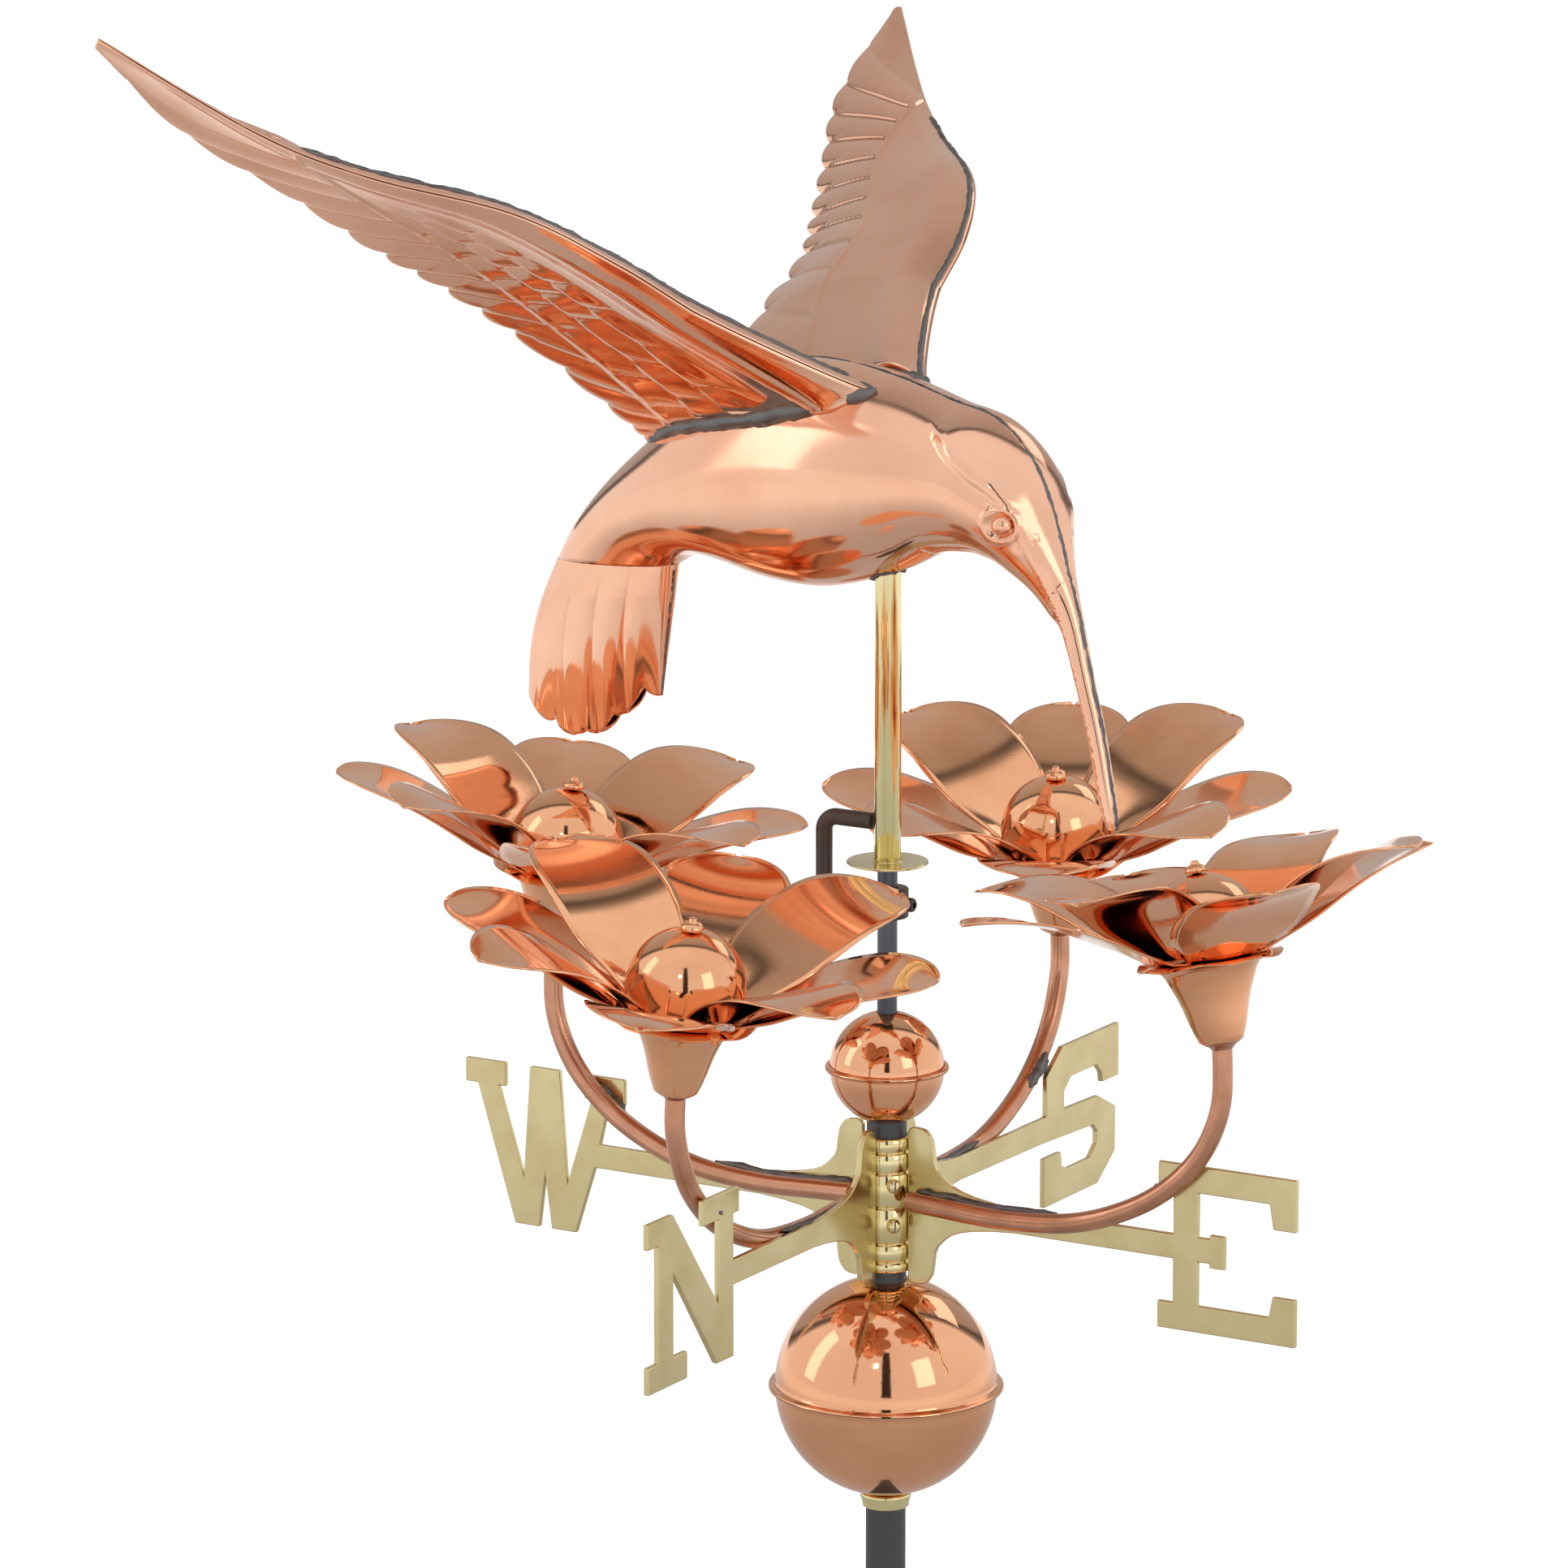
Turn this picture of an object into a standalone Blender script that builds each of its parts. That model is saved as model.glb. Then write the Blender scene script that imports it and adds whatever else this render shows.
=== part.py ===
"""Copper hummingbird weather vane with four flowers, two globes and a brass compass rose.

+Z is up and the origin is the centre of the mast's lower end. East is +X, west -X, north -Y and
south +Y. The bird is drawn facing +X in its own frame and is turned with its empty. Every length
below is in millimetres; new_object turns them into metres.
"""

import math

import bmesh
import bpy
import numpy as np
from mathutils import Matrix, Vector

MM = 0.001
GAP = 0.3

# Mast and spindle
MAST_RADIUS = 19.05 / 2
MAST_BORE_RADIUS = 15.75 / 2
MAST_TOP = 352.0
MAST_END_DISC = 3.0
SPINDLE_RADIUS = 9.5 / 2
SPINDLE_FOOT = 302.0
SPINDLE_TOP = 650.0
SPINDLE_CHAMFER = 2.0
COLLAR_RADIUS = 12.3
COLLAR_HEIGHT = 7.5

# Globes: centre height, radius, bead radius
SHEET = 1.0
LOWER_GLOBE = (211.0, 53.0, 56.2)
UPPER_GLOBE = (367.0, 27.2, 29.5)
BEAD_HALF = 1.3

# Compass rose
ARM_HEIGHT = 301.5
ARM_HALF = 6.0
PLATE_THICKNESS = 3.0
HUB_RADIUS = 12.0
HUB_HALF = 32.8
HUB_GROOVES = (25.8, 15.9, -0.8, -18.7, -27.8)
SCREW_HEIGHTS = {"upper": 10.5, "lower": -9.0}
SCREW_HEAD_RADIUS = 3.5
SCREW_HEAD_HEIGHT = 3.4
SCREW_SHANK_RADIUS = 2.0
SCREW_BEARINGS = {"se": 45, "sw": 135, "nw": 225, "ne": 315}
STEM_RADIUS = 9.5 / 2
STEM_OFFSET = PLATE_THICKNESS / 2 + GAP + STEM_RADIUS
STEM_ROUTE = ((15.5, 305), (35, 304), (65, 303), (100, 306), (128, 315), (152, 329), (171, 349), (181, 374))
STEM_REACH = 181.0
STEM_BENDS = 13
STEM_END_GAP = 1.4

# Flower, heights along its own axis
CALYX_HEIGHT = 38.0
CALYX_RIM_RADIUS = 34.5
PETAL_COLLAR = 28.0
PETAL_LENGTH = 86.0
PETAL_CURL = 1.4
PETAL_TIP_CURVE = 14.0
PETAL_CUP = 7.0
ROOT_SPREAD = math.radians(38)
BALL_RADIUS = 27.5
BALL_CENTRE = 51.0

# Vane
HEADING = math.radians(-12.0)
TUBE_RADIUS = 12.7 / 2
TUBE_BORE_RADIUS = 10.3 / 2
TUBE_FOOT = 465.8
TUBE_TOP = 668.0
FLANGE_RADIUS = 19.3
FLANGE_THICKNESS = 1.2
PIVOT_RADIUS = 4.0
BODY_SHEET = 1.2
SEAM_HALF = 0.2

# Retainer
RETAINER_HEIGHT = 447.0
RETAINER_REACH = 34.5
RETAINER_RISE = 38.0
RETAINER_ROD = 4.0
RETAINER_BEND = 7.0
RETAINER_COLLAR_RADIUS = 10.0
RETAINER_COLLAR_HALF = 7.0

SEGMENTS = 24


def clear_scene():
    for item in list(bpy.data.objects):
        bpy.data.objects.remove(item, do_unlink=True)


def metal(name, colour, roughness, metallic=1.0):
    made = bpy.data.materials.new(name)
    made.use_nodes = True
    shader = made.node_tree.nodes["Principled BSDF"]
    shader.inputs["Base Color"].default_value = (*colour, 1.0)
    shader.inputs["Roughness"].default_value = roughness
    shader.inputs["Metallic"].default_value = metallic
    made.diffuse_color = (*colour, 1.0)
    return made


def new_object(name, shape, material, parent=None, sharp_angle=35.0):
    """One named object from (points, faces) in millimetres, its faces turned outwards."""
    points, faces = shape
    mesh = bpy.data.meshes.new(name)
    mesh.from_pydata([tuple(c * MM for c in point) for point in points], [], faces)
    sheet = bmesh.new()
    sheet.from_mesh(mesh)
    bmesh.ops.recalc_face_normals(sheet, faces=sheet.faces)
    sheet.to_mesh(mesh)
    sheet.free()
    mesh.shade_smooth()
    mesh.set_sharp_from_angle(angle=math.radians(sharp_angle))
    mesh.materials.append(material)
    made = bpy.data.objects.new(name, mesh)
    bpy.context.scene.collection.objects.link(made)
    made.parent = parent
    return made


def new_empty(name, parent=None, location=(0, 0, 0), rotation=(0, 0, 0)):
    made = bpy.data.objects.new(name, None)
    bpy.context.scene.collection.objects.link(made)
    made.parent = parent
    made.location = [c * MM for c in location]
    made.rotation_euler = rotation
    return made


def cut(target, cutter, operation="DIFFERENCE"):
    """A Boolean on the target with a helper that is left out of renders."""
    cutter.hide_render = True
    cutter.display_type = "WIRE"
    made = target.modifiers.new("cut_" + cutter.name, "BOOLEAN")
    made.object = cutter
    made.operation = operation
    made.solver = "EXACT"


def turned(profile, segments=SEGMENTS, closed=True):
    """A solid of revolution about Z from (radius, height) points; radius 0 makes a pole."""
    points = []
    rings = []
    for radius, height in profile:
        first = len(points)
        count = 1 if radius == 0 else segments
        for k in range(count):
            angle = 2 * math.pi * k / segments
            points.append((radius * math.cos(angle), radius * math.sin(angle), height))
        rings.append([first + k % count for k in range(segments)])
    pairs = list(zip(rings, rings[1:]))
    if closed:
        pairs.append((rings[-1], rings[0]))
    faces = []
    for low, high in pairs:
        for k in range(segments):
            corners = [low[k], low[(k + 1) % segments], high[(k + 1) % segments], high[k]]
            face = list(dict.fromkeys(corners))
            if len(face) > 2:
                faces.append(face)
    return points, faces


def swept(path, radius, sides=8, normal=(0, 1, 0)):
    """A round bar along a path that lies in one plane, with flat ends."""
    path = [Vector(point) for point in path]
    normal = Vector(normal)
    points = []
    for i, here in enumerate(path):
        along = (path[min(i + 1, len(path) - 1)] - path[max(i - 1, 0)]).normalized()
        across = along.cross(normal)
        for k in range(sides):
            angle = 2 * math.pi * (k + 0.5) / sides
            points.append(here + radius * (math.cos(angle) * across + math.sin(angle) * normal))
    faces = [list(range(sides)), list(range(len(points) - sides, len(points)))]
    for i in range(len(path) - 1):
        for k in range(sides):
            near, far = i * sides, (i + 1) * sides
            faces.append([near + k, near + (k + 1) % sides, far + (k + 1) % sides, far + k])
    return [tuple(point) for point in points], faces


def extruded(outline, thickness):
    """A plate in the XZ plane, its thickness shared either side of y = 0."""
    count = len(outline)
    points = [(x, side * thickness / 2, z) for side in (-1, 1) for x, z in outline]
    faces = [list(range(count)), list(range(count, 2 * count))]
    for k in range(count):
        faces.append([k, (k + 1) % count, count + (k + 1) % count, count + k])
    return points, faces


def between_grids(outer, inner):
    """A closed sheet between two equal grids of points, joined along their borders."""
    rows, columns = len(outer), len(outer[0])
    points = [tuple(point) for grid in (outer, inner) for row in grid for point in row]
    back = rows * columns
    faces = []
    for i in range(rows - 1):
        for j in range(columns - 1):
            quad = [i * columns + j, i * columns + j + 1, (i + 1) * columns + j + 1, (i + 1) * columns + j]
            faces.append(quad)
            faces.append([back + k for k in reversed(quad)])
    border = [(0, j) for j in range(columns)]
    border += [(i, columns - 1) for i in range(1, rows)]
    border += [(rows - 1, j) for j in range(columns - 2, -1, -1)]
    border += [(i, 0) for i in range(rows - 2, 0, -1)]
    ring = [i * columns + j for i, j in border]
    for k, here in enumerate(ring):
        after = ring[(k + 1) % len(ring)]
        faces.append([here, back + here, back + after, after])
    return points, faces


def along(points, t):
    """The point at t from 0 to 1 on a smooth curve through all the points."""
    points = np.asarray(points, float)
    place = min(max(t, 0.0), 1.0) * (len(points) - 1)
    k = min(int(place), len(points) - 2)
    u = place - k
    a, b, c, d = (points[min(max(k + step, 0), len(points) - 1)] for step in (-1, 0, 1, 2))
    return 0.5 * (2 * b + (c - a) * u + (2 * a - 5 * b + 4 * c - d) * u**2 + (3 * b - a - 3 * c + d) * u**3)


def spun(point, angle):
    """The point turned about Z."""
    x, y, z = point
    return x * math.cos(angle) - y * math.sin(angle), x * math.sin(angle) + y * math.cos(angle), z


def arc(radius, start, end, count):
    """(radius, height) points of an arc about the origin, from one latitude to another."""
    steps = [start + (end - start) * k / count for k in range(count + 1)]
    return [(radius * math.cos(a), radius * math.sin(a)) for a in steps]


def half_globe(radius, bead_radius, hole_radius, upward, segments, steps):
    """A spun half shell with half of the seam bead, open at its pole for the rod."""
    inner = radius - SHEET
    outer_arc = arc(radius, math.radians(4), math.acos(hole_radius / radius), steps)
    inner_arc = arc(inner, math.acos(hole_radius / inner), math.radians(1), steps // 2 + 1)
    lip = [(inner, GAP / 2), (bead_radius - 0.4, GAP / 2), (bead_radius, 0.8), (bead_radius - 0.6, BEAD_HALF)]
    profile = lip + outer_arc + inner_arc
    return turned([(r, h if upward else -h) for r, h in profile], segments)


def make_mast(steel, brass, copper):
    hole = MAST_RADIUS + GAP
    tube = [
        (0, 0), (MAST_RADIUS, 0), (MAST_RADIUS, MAST_TOP), (MAST_BORE_RADIUS, MAST_TOP),
        (MAST_BORE_RADIUS, MAST_END_DISC), (0, MAST_END_DISC),
    ]
    new_object("mast_tube", turned(tube, 20, closed=False), steel)
    rod = [
        (0, SPINDLE_FOOT), (SPINDLE_RADIUS, SPINDLE_FOOT), (SPINDLE_RADIUS, SPINDLE_TOP - SPINDLE_CHAMFER),
        (SPINDLE_RADIUS - SPINDLE_CHAMFER, SPINDLE_TOP), (0, SPINDLE_TOP),
    ]
    new_object("spindle_rod", turned(rod, 16, closed=False), steel)
    bush_in = SPINDLE_RADIUS + GAP / 2
    bush_out = MAST_BORE_RADIUS - GAP / 2
    bush = [(bush_in, SPINDLE_FOOT), (bush_out, SPINDLE_FOOT), (bush_out, MAST_TOP), (bush_in, MAST_TOP)]
    new_object("spindle_bush", turned(bush, 16), steel)
    globes = (
        ("lower_globe_bottom", LOWER_GLOBE, False, hole, 20, 7),
        ("lower_globe_top", LOWER_GLOBE, True, hole, 20, 7),
        ("upper_globe_bottom", UPPER_GLOBE, False, hole, 16, 6),
        ("upper_globe_top", UPPER_GLOBE, True, SPINDLE_RADIUS + GAP, 16, 6),
    )
    for name, (height, radius, bead), upward, opening, segments, steps in globes:
        made = new_object(name, half_globe(radius, bead, opening, upward, segments, steps), copper)
        made.location.z = height * MM
    ball = arc(PIVOT_RADIUS, math.radians(-60), math.radians(60), 4)
    ball = [(0, -PIVOT_RADIUS)] + ball + [(0, PIVOT_RADIUS)]
    made = new_object("pivot_ball", turned(ball, 12, closed=False), steel)
    made.location.z = (SPINDLE_TOP + GAP + PIVOT_RADIUS) * MM
    make_collar(brass)


def make_collar(brass):
    """The ferrule that the lower globe rests on, its profile drawn down from the globe's underside."""
    height, radius, _ = LOWER_GLOBE
    hole = MAST_RADIUS + GAP
    top = height - math.sqrt(radius**2 - hole**2) - GAP
    profile = [
        (hole, top - COLLAR_HEIGHT), (COLLAR_RADIUS - 1.2, top - COLLAR_HEIGHT), (COLLAR_RADIUS - 0.6, top - 3),
        (COLLAR_RADIUS, top - 2), (COLLAR_RADIUS, top - 0.6), (hole, top - 0.2),
    ]
    new_object("mast_collar", turned(profile, 20), brass)


# Each plate's broad end at the hub: (radius, height from the arm) of its upper edge.
FLANGE = (
    (12.3, 36), (14, 38), (20, 38), (24, 35), (26, 30), (27, 22), (30, 17), (36, 12), (47, 8.5), (70, ARM_HALF),
)

# Letter outlines: (radius from the mast, height from the arm), from the arm's top edge round to its bottom.
LETTERS = {
    "e": [
        (154, 6), (154, 27), (146, 27), (146, 40), (218, 40), (218, 15), (206, 15), (204, 27), (167, 27), (167, 6),
        (173, 6), (173, 8), (181, 8), (181, -8), (173, -8), (173, -6), (167, -6), (167, -27), (204, -27),
        (206, -17), (218, -17), (218, -40), (146, -40), (146, -27), (154, -27), (154, -6),
    ],
    "n": [
        (143, 6), (143, 28), (138, 28), (138, 40), (170, 40), (170, 28), (156, 28), (156, -12), (196, 40), (218, 40),
        (218, 28), (209, 28), (209, -27), (218, -27), (218, -40), (184, -40), (184, -27), (196, -27), (196, 12),
        (158, -40), (143, -40), (143, -6),
    ],
    "w": [
        (159, 6), (154, 27), (145, 27), (145, 40), (168, 40), (168, 28), (164, 28), (178, -16), (182, 40), (199, 40),
        (203, -16), (217, 28), (213, 28), (213, 40), (236, 40), (236, 28), (229, 28), (208, -40), (194, -40),
        (190.5, -14), (187, -40), (173, -40), (162, -6),
    ],
    "s": [
        (155, 6), (155, 26), (171, 38), (229, 38), (229, 11), (212, 11), (211, 16), (206, 21), (180, 21), (173, 15),
        (173, 6), (208, 5), (226, -4), (226, -27), (208, -40), (153, -40), (153, -15), (170, -15), (171, -22),
        (176, -25), (200, -25), (207, -19), (207, -13), (203, -9), (155, -7),
    ],
}

# Each arm's bearing as a turn from +X about Z, the side of its plate that the stem lies on, the height
# of its calyx, and how its flower was set: inward lean, sideways lean and turn, in degrees.
POINTS = {
    "e": (0, -1, 404, 12, -3, 46),
    "n": (-90, -1, 395, -4, -9, 20),
    "w": (180, 1, 405, 7, 2, 32),
    "s": (90, 1, 397, 9, 3, 24),
}


def make_hub(brass, compass):
    """The grooved barrel that turns on the mast, with a pair of screws in each quarter."""
    bore = MAST_RADIUS + GAP
    groove, depth = 0.7, 0.8
    profile = [(bore, HUB_HALF), (HUB_RADIUS, HUB_HALF)]
    for height in HUB_GROOVES:
        profile += [(HUB_RADIUS, height + groove), (HUB_RADIUS - depth, height), (HUB_RADIUS, height - groove)]
    profile += [(HUB_RADIUS, -HUB_HALF), (bore, -HUB_HALF)]
    hub = new_object("hub_barrel", turned(profile, 16), brass, compass)
    hub.location.z = ARM_HEIGHT * MM
    foot = HUB_RADIUS + GAP
    top = foot + SCREW_HEAD_HEIGHT
    screw = [
        (0, bore + GAP), (SCREW_SHANK_RADIUS, bore + GAP), (SCREW_SHANK_RADIUS, foot), (SCREW_HEAD_RADIUS, foot),
        (SCREW_HEAD_RADIUS, top - 1), (SCREW_HEAD_RADIUS - 1, top), (0, top),
    ]
    clear = SCREW_SHANK_RADIUS + GAP
    hole = [(0, bore / 2), (clear, bore / 2), (clear, top + 4), (0, top + 4)]
    for level, height in SCREW_HEIGHTS.items():
        for quadrant, bearing in SCREW_BEARINGS.items():
            turn = Matrix.Rotation(math.radians(bearing), 4, "Z") @ Matrix.Rotation(math.pi / 2, 4, "Y")
            place = Matrix.Translation((0, 0, (ARM_HEIGHT + height) * MM)) @ turn
            made = new_object(f"hub_screw_{quadrant}_{level}", turned(screw, 8, closed=False), brass, compass)
            made.matrix_local = place
            drill = new_object(f"drill_{quadrant}_{level}", turned(hole, 8, closed=False), brass, compass)
            drill.matrix_local = place
            cut(hub, drill)


def make_plates(brass, compass):
    for letter, outline in LETTERS.items():
        lower = [(radius, -height) for radius, height in reversed(FLANGE)]
        shape = extruded(list(FLANGE) + outline + lower, PLATE_THICKNESS)
        made = new_object(f"plate_{letter}", shape, brass, compass)
        made.location.z = ARM_HEIGHT * MM
        made.rotation_euler.z = math.radians(POINTS[letter][0])


def petal_sheet(rise, droop, width, turn):
    """Four spoon-shaped petals round a flat collar, as one sheet to be thickened."""
    across, steps = 4, 4
    points = [(0, 0, 0)]
    faces = []
    collar = []
    for petal in range(4):
        middle = turn + petal * math.pi / 2
        rows = []
        for i in range(steps + 1):
            t = i / steps
            spread = width * math.sin(math.pi * (0.22 + 0.7 * t)) ** 0.7
            lift = rise * (1 - (1 - t) ** PETAL_CURL) - droop * t * t
            row = []
            for j in range(across + 1):
                w = 2 * j / across - 1
                x = PETAL_COLLAR + PETAL_LENGTH * t - PETAL_TIP_CURVE * t * t * w * w
                y = spread * w
                if i == 0:
                    x = PETAL_COLLAR * math.cos(w * ROOT_SPREAD)
                    y = PETAL_COLLAR * math.sin(w * ROOT_SPREAD)
                z = lift + PETAL_CUP * t * w * w
                row.append(len(points))
                points.append(spun((x, y, z), middle))
            rows.append(row)
        for low, high in zip(rows, rows[1:]):
            for j in range(across):
                faces.append([low[j], low[j + 1], high[j + 1], high[j]])
        collar += rows[0]
    for k, here in enumerate(collar):
        faces.append([0, here, collar[(k + 1) % len(collar)]])
    return points, faces


def make_flower(letter, copper, compass):
    bearing, side, foot_height, lean, side_lean, turn = POINTS[letter]
    arm = new_empty(f"arm_{letter}", compass, rotation=(0, 0, math.radians(bearing)))
    offset = side * STEM_OFFSET
    tilt = Matrix.Rotation(math.radians(-lean), 4, "Y") @ Matrix.Rotation(math.radians(side_lean), 4, "X")
    foot = Vector((STEM_REACH, offset, foot_height))
    end = foot - tilt @ Vector((0, 0, STEM_END_GAP))
    route = STEM_ROUTE + ((end.x, end.z),)
    path = [along(route, k / STEM_BENDS) for k in range(STEM_BENDS + 1)]
    new_object(f"stem_{letter}", swept([(x, offset, z) for x, z in path], STEM_RADIUS), copper, arm)
    head = new_empty(f"flower_{letter}", arm)
    head.matrix_local = Matrix.Translation(foot * MM) @ tilt @ Matrix.Rotation(math.radians(turn), 4, "Z")
    rim = CALYX_HEIGHT
    bell = [
        (0, 0), (10.4, 0), (12.4, 6), (15.5, 17), (19.6, 28), (24.5, rim), (CALYX_RIM_RADIUS, rim + 0.3),
        (CALYX_RIM_RADIUS, rim + 1.3), (23.5, rim + 1.3), (18.2, 28), (14, 17), (9, 3), (0, 3),
    ]
    new_object(f"calyx_{letter}", turned(bell, 14, closed=False), copper, head)
    sheets = (
        ("lower", rim + 1.3 + GAP, 38, 5, 33, 0.0),
        ("upper", rim + 5.2, 52, 15, 32, math.pi / 4),
    )
    for name, height, rise, droop, width, half_turn in sheets:
        shape = petal_sheet(rise, droop, width, half_turn)
        made = new_object(f"petals_{name}_{letter}", shape, copper, head)
        made.location.z = height * MM
        thickness = made.modifiers.new("thickness", "SOLIDIFY")
        thickness.thickness = SHEET * MM
        thickness.offset = 1.0
    cut_level = rim + 6.2 + 2 * GAP - BALL_CENTRE
    inner = BALL_RADIUS - SHEET
    hole = 2.6
    dome = arc(BALL_RADIUS, math.asin(cut_level / BALL_RADIUS), math.acos(hole / BALL_RADIUS), 6)
    dome += arc(inner, math.acos(hole / inner), math.asin(cut_level / inner), 4)
    made = new_object(f"flower_ball_{letter}", turned(dome, 12), copper, head)
    made.location.z = BALL_CENTRE * MM
    button = [(0, 0), (5, 0), (5.3, 1.2), (4.4, 3), (2.2, 3.8), (2, 5), (0, 5.6)]
    made = new_object(f"flower_button_{letter}", turned(button, 8, closed=False), copper, head)
    made.location.z = (BALL_CENTRE + BALL_RADIUS + GAP + 0.2) * MM


# The body's stations from the tail to the beak's tip: back (x, z), belly (x, z) and half the width.
BODY = (
    ((-211, 585), (-137, 591), 14),
    ((-197, 605), (-124, 598), 20),
    ((-173, 629), (-108, 600), 27),
    ((-142, 654), (-90, 598), 33),
    ((-107, 680), (-66, 594), 37),
    ((-70, 697), (-40, 594), 39),
    ((-30, 701), (-16, 599), 39),
    ((8, 697), (10, 608), 37),
    ((40, 690), (34, 619), 33),
    ((66, 685), (56, 622), 30),
    ((86, 671), (73, 620), 27),
    ((98, 652), (84, 615), 21),
    ((105, 634), (94, 608), 14),
    ((111, 616), (102, 599), 8),
    ((117, 598), (109, 591), 5),
    ((124, 572), (117, 569), 4),
    ((131.5, 546), (125, 544), 3.6),
    ((138.5, 514), (133, 513), 3),
    ((140, 503), (137, 503), 1.9),
)

LEADING_EDGE = (
    (-4, -22, 691), (-35, -80, 727), (-50, -128, 758), (-75, -171, 784), (-121, -217, 801), (-158, -251, 821),
    (-208, -301, 864),
)
TRAILING_EDGE = (
    (-132, -17, 654), (-142, -85, 703), (-151, -139, 738), (-166, -171, 759), (-185, -206, 786), (-208, -250, 818),
    (-212, -299, 860),
)
SHOULDER = (-30.0, 10.0, 685.0)
LEFT_WING_SET = tuple(math.radians(a) for a in (-8.4, 0.5, 9.1))


def body_point(place, angle, shrink=0.0):
    """A point on the body's right side at a station place from 0 to 1, angle up from its flank."""
    back = along([s[0] for s in BODY], place)
    belly = along([s[1] for s in BODY], place)
    width = along([[s[2]] for s in BODY], place)[0]
    centre = (back + belly) / 2
    half = (back - belly) / 2
    depth = float(np.linalg.norm(half))
    wall = min(shrink, 0.4 * width, 0.4 * depth)
    half = half * (1 - wall / depth)
    x, z = centre + half * math.sin(angle)
    return np.array([x, -SEAM_HALF - (width - wall) * math.cos(angle), z])


def mirrored(shape, left):
    points, faces = shape
    return ([(x, -y, z) for x, y, z in points] if left else points), faces


def make_body(copper, vane):
    count, round_steps = len(BODY), 7
    angles = [math.pi / 2 - math.pi * k / round_steps for k in range(round_steps + 1)]
    places = [k / (count - 1) for k in range(count)]
    outer = [[body_point(place, angle) for angle in angles] for place in places]
    inner = [[body_point(place, angle, BODY_SHEET) for angle in angles] for place in places]
    reach = TUBE_RADIUS + GAP
    hole = turned([(0, 560), (reach, 560), (reach, 650), (0, 650)], SEGMENTS, closed=False)
    drill = new_object("drill_belly", hole, copper, vane)
    for name, left in (("body_right", False), ("body_left", True)):
        made = new_object(name, mirrored(between_grids(outer, inner), left), copper, vane)
        cut(made, drill)


def make_tail(copper, vane):
    """Two fluted half shells that meet on the bird's middle plane."""
    columns, rows = 9, 5
    base_back, base_front = np.array((-211, 584.4)), np.array((-137, 590.4))
    tip_back, tip_front = np.array((-234, 512)), np.array((-146, 528))
    outer, inner = [], []
    for i in range(rows + 1):
        v = i / rows
        outer_row, inner_row = [], []
        for j in range(columns + 1):
            u = j / columns
            base = base_back + (base_front - base_back) * u
            tip = tip_back + (tip_front - tip_back) * u
            x, z = base + (tip - base) * v + np.array((-6, 0)) * math.sin(math.pi * v) * (1 - u)
            z -= 18 * v**3 * math.sin(math.pi * min(1.0, u * 1.15)) - 0.9 * (1 - v)
            flute = 0.5 * math.cos(2 * math.pi * u * 4.5) * v * math.sin(math.pi * u)
            swell = (12.5 - 5 * v) * math.sin(math.pi * u) ** 0.4 * (1 - 0.7 * v**4) + flute
            z -= 1.2 if i == 0 else 0.0
            outer_row.append((x, -(SEAM_HALF + SHEET + max(swell, 0.0)), z))
            inner_row.append((x, -(SEAM_HALF + max(swell, 0.0)), z))
        outer.append(outer_row)
        inner.append(inner_row)
    for name, left in (("tail_right", False), ("tail_left", True)):
        new_object(name, mirrored(between_grids(outer, inner), left), copper, vane)


def wing_edges(left):
    """The leading and trailing edge points, drawn for the right wing; the left is set a little lower."""
    if not left:
        return LEADING_EDGE, TRAILING_EDGE
    x_turn, y_turn, z_turn = LEFT_WING_SET
    turn = Matrix.Rotation(z_turn, 3, "Z") @ Matrix.Rotation(y_turn, 3, "Y") @ Matrix.Rotation(x_turn, 3, "X")
    shoulder = Vector(SHOULDER)
    edges = []
    for edge in (LEADING_EDGE, TRAILING_EDGE):
        moved = [edge[0]]
        for x, y, z in edge[1:]:
            point = turn @ (Vector((x, -y, z)) - shoulder) + shoulder
            moved.append((point.x, -point.y, point.z))
        edges.append(moved)
    return edges


def wing_root(u):
    """The line on the body's side that the wing's root follows, u from its front to its rear, 1.3 mm clear."""
    front, rear = 7 / 18, 3 / 18
    angle = math.radians(62 - 24 * math.sin(math.pi * u))
    point = body_point(front + (rear - front) * u, angle)
    return point + np.array((0.0, -math.cos(angle), math.sin(angle))) * 1.8


def make_wings(copper, vane):
    spans, chords = 11, 6
    for side, left in (("right", False), ("left", True)):
        leading, trailing = wing_edges(left)
        skins = {"top": ([], []), "bottom": ([], [])}
        for i in range(spans + 1):
            t = i / spans
            front, rear = along(leading, t), along(trailing, t)
            ahead = along(leading, t + 0.02) + along(trailing, t + 0.02)
            behind = along(leading, t - 0.02) + along(trailing, t - 0.02)
            up = np.cross(rear - front, ahead - behind)
            up /= np.linalg.norm(up)
            chord = np.linalg.norm(rear - front)
            rooted = max(0.0, 1 - t / 0.2)
            rows = {name: ([], []) for name in skins}
            for j in range(chords + 1):
                u = j / chords
                middle = front + (rear - front) * u + up * 0.07 * chord * math.sin(math.pi * u)
                middle = middle * (1 - rooted) + wing_root(u) * rooted
                swell = (7 - 6 * t) * math.sin(math.pi * u**0.7)
                for name, sign in (("top", 1), ("bottom", -1)):
                    rows[name][0].append(middle + sign * up * (SEAM_HALF + swell + SHEET))
                    rows[name][1].append(middle + sign * up * (SEAM_HALF + swell))
            for name in skins:
                skins[name][0].append(rows[name][0])
                skins[name][1].append(rows[name][1])
        for name, (outer, inner) in skins.items():
            new_object(f"wing_{side}_{name}", mirrored(between_grids(outer, inner), left), copper, vane)


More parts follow.
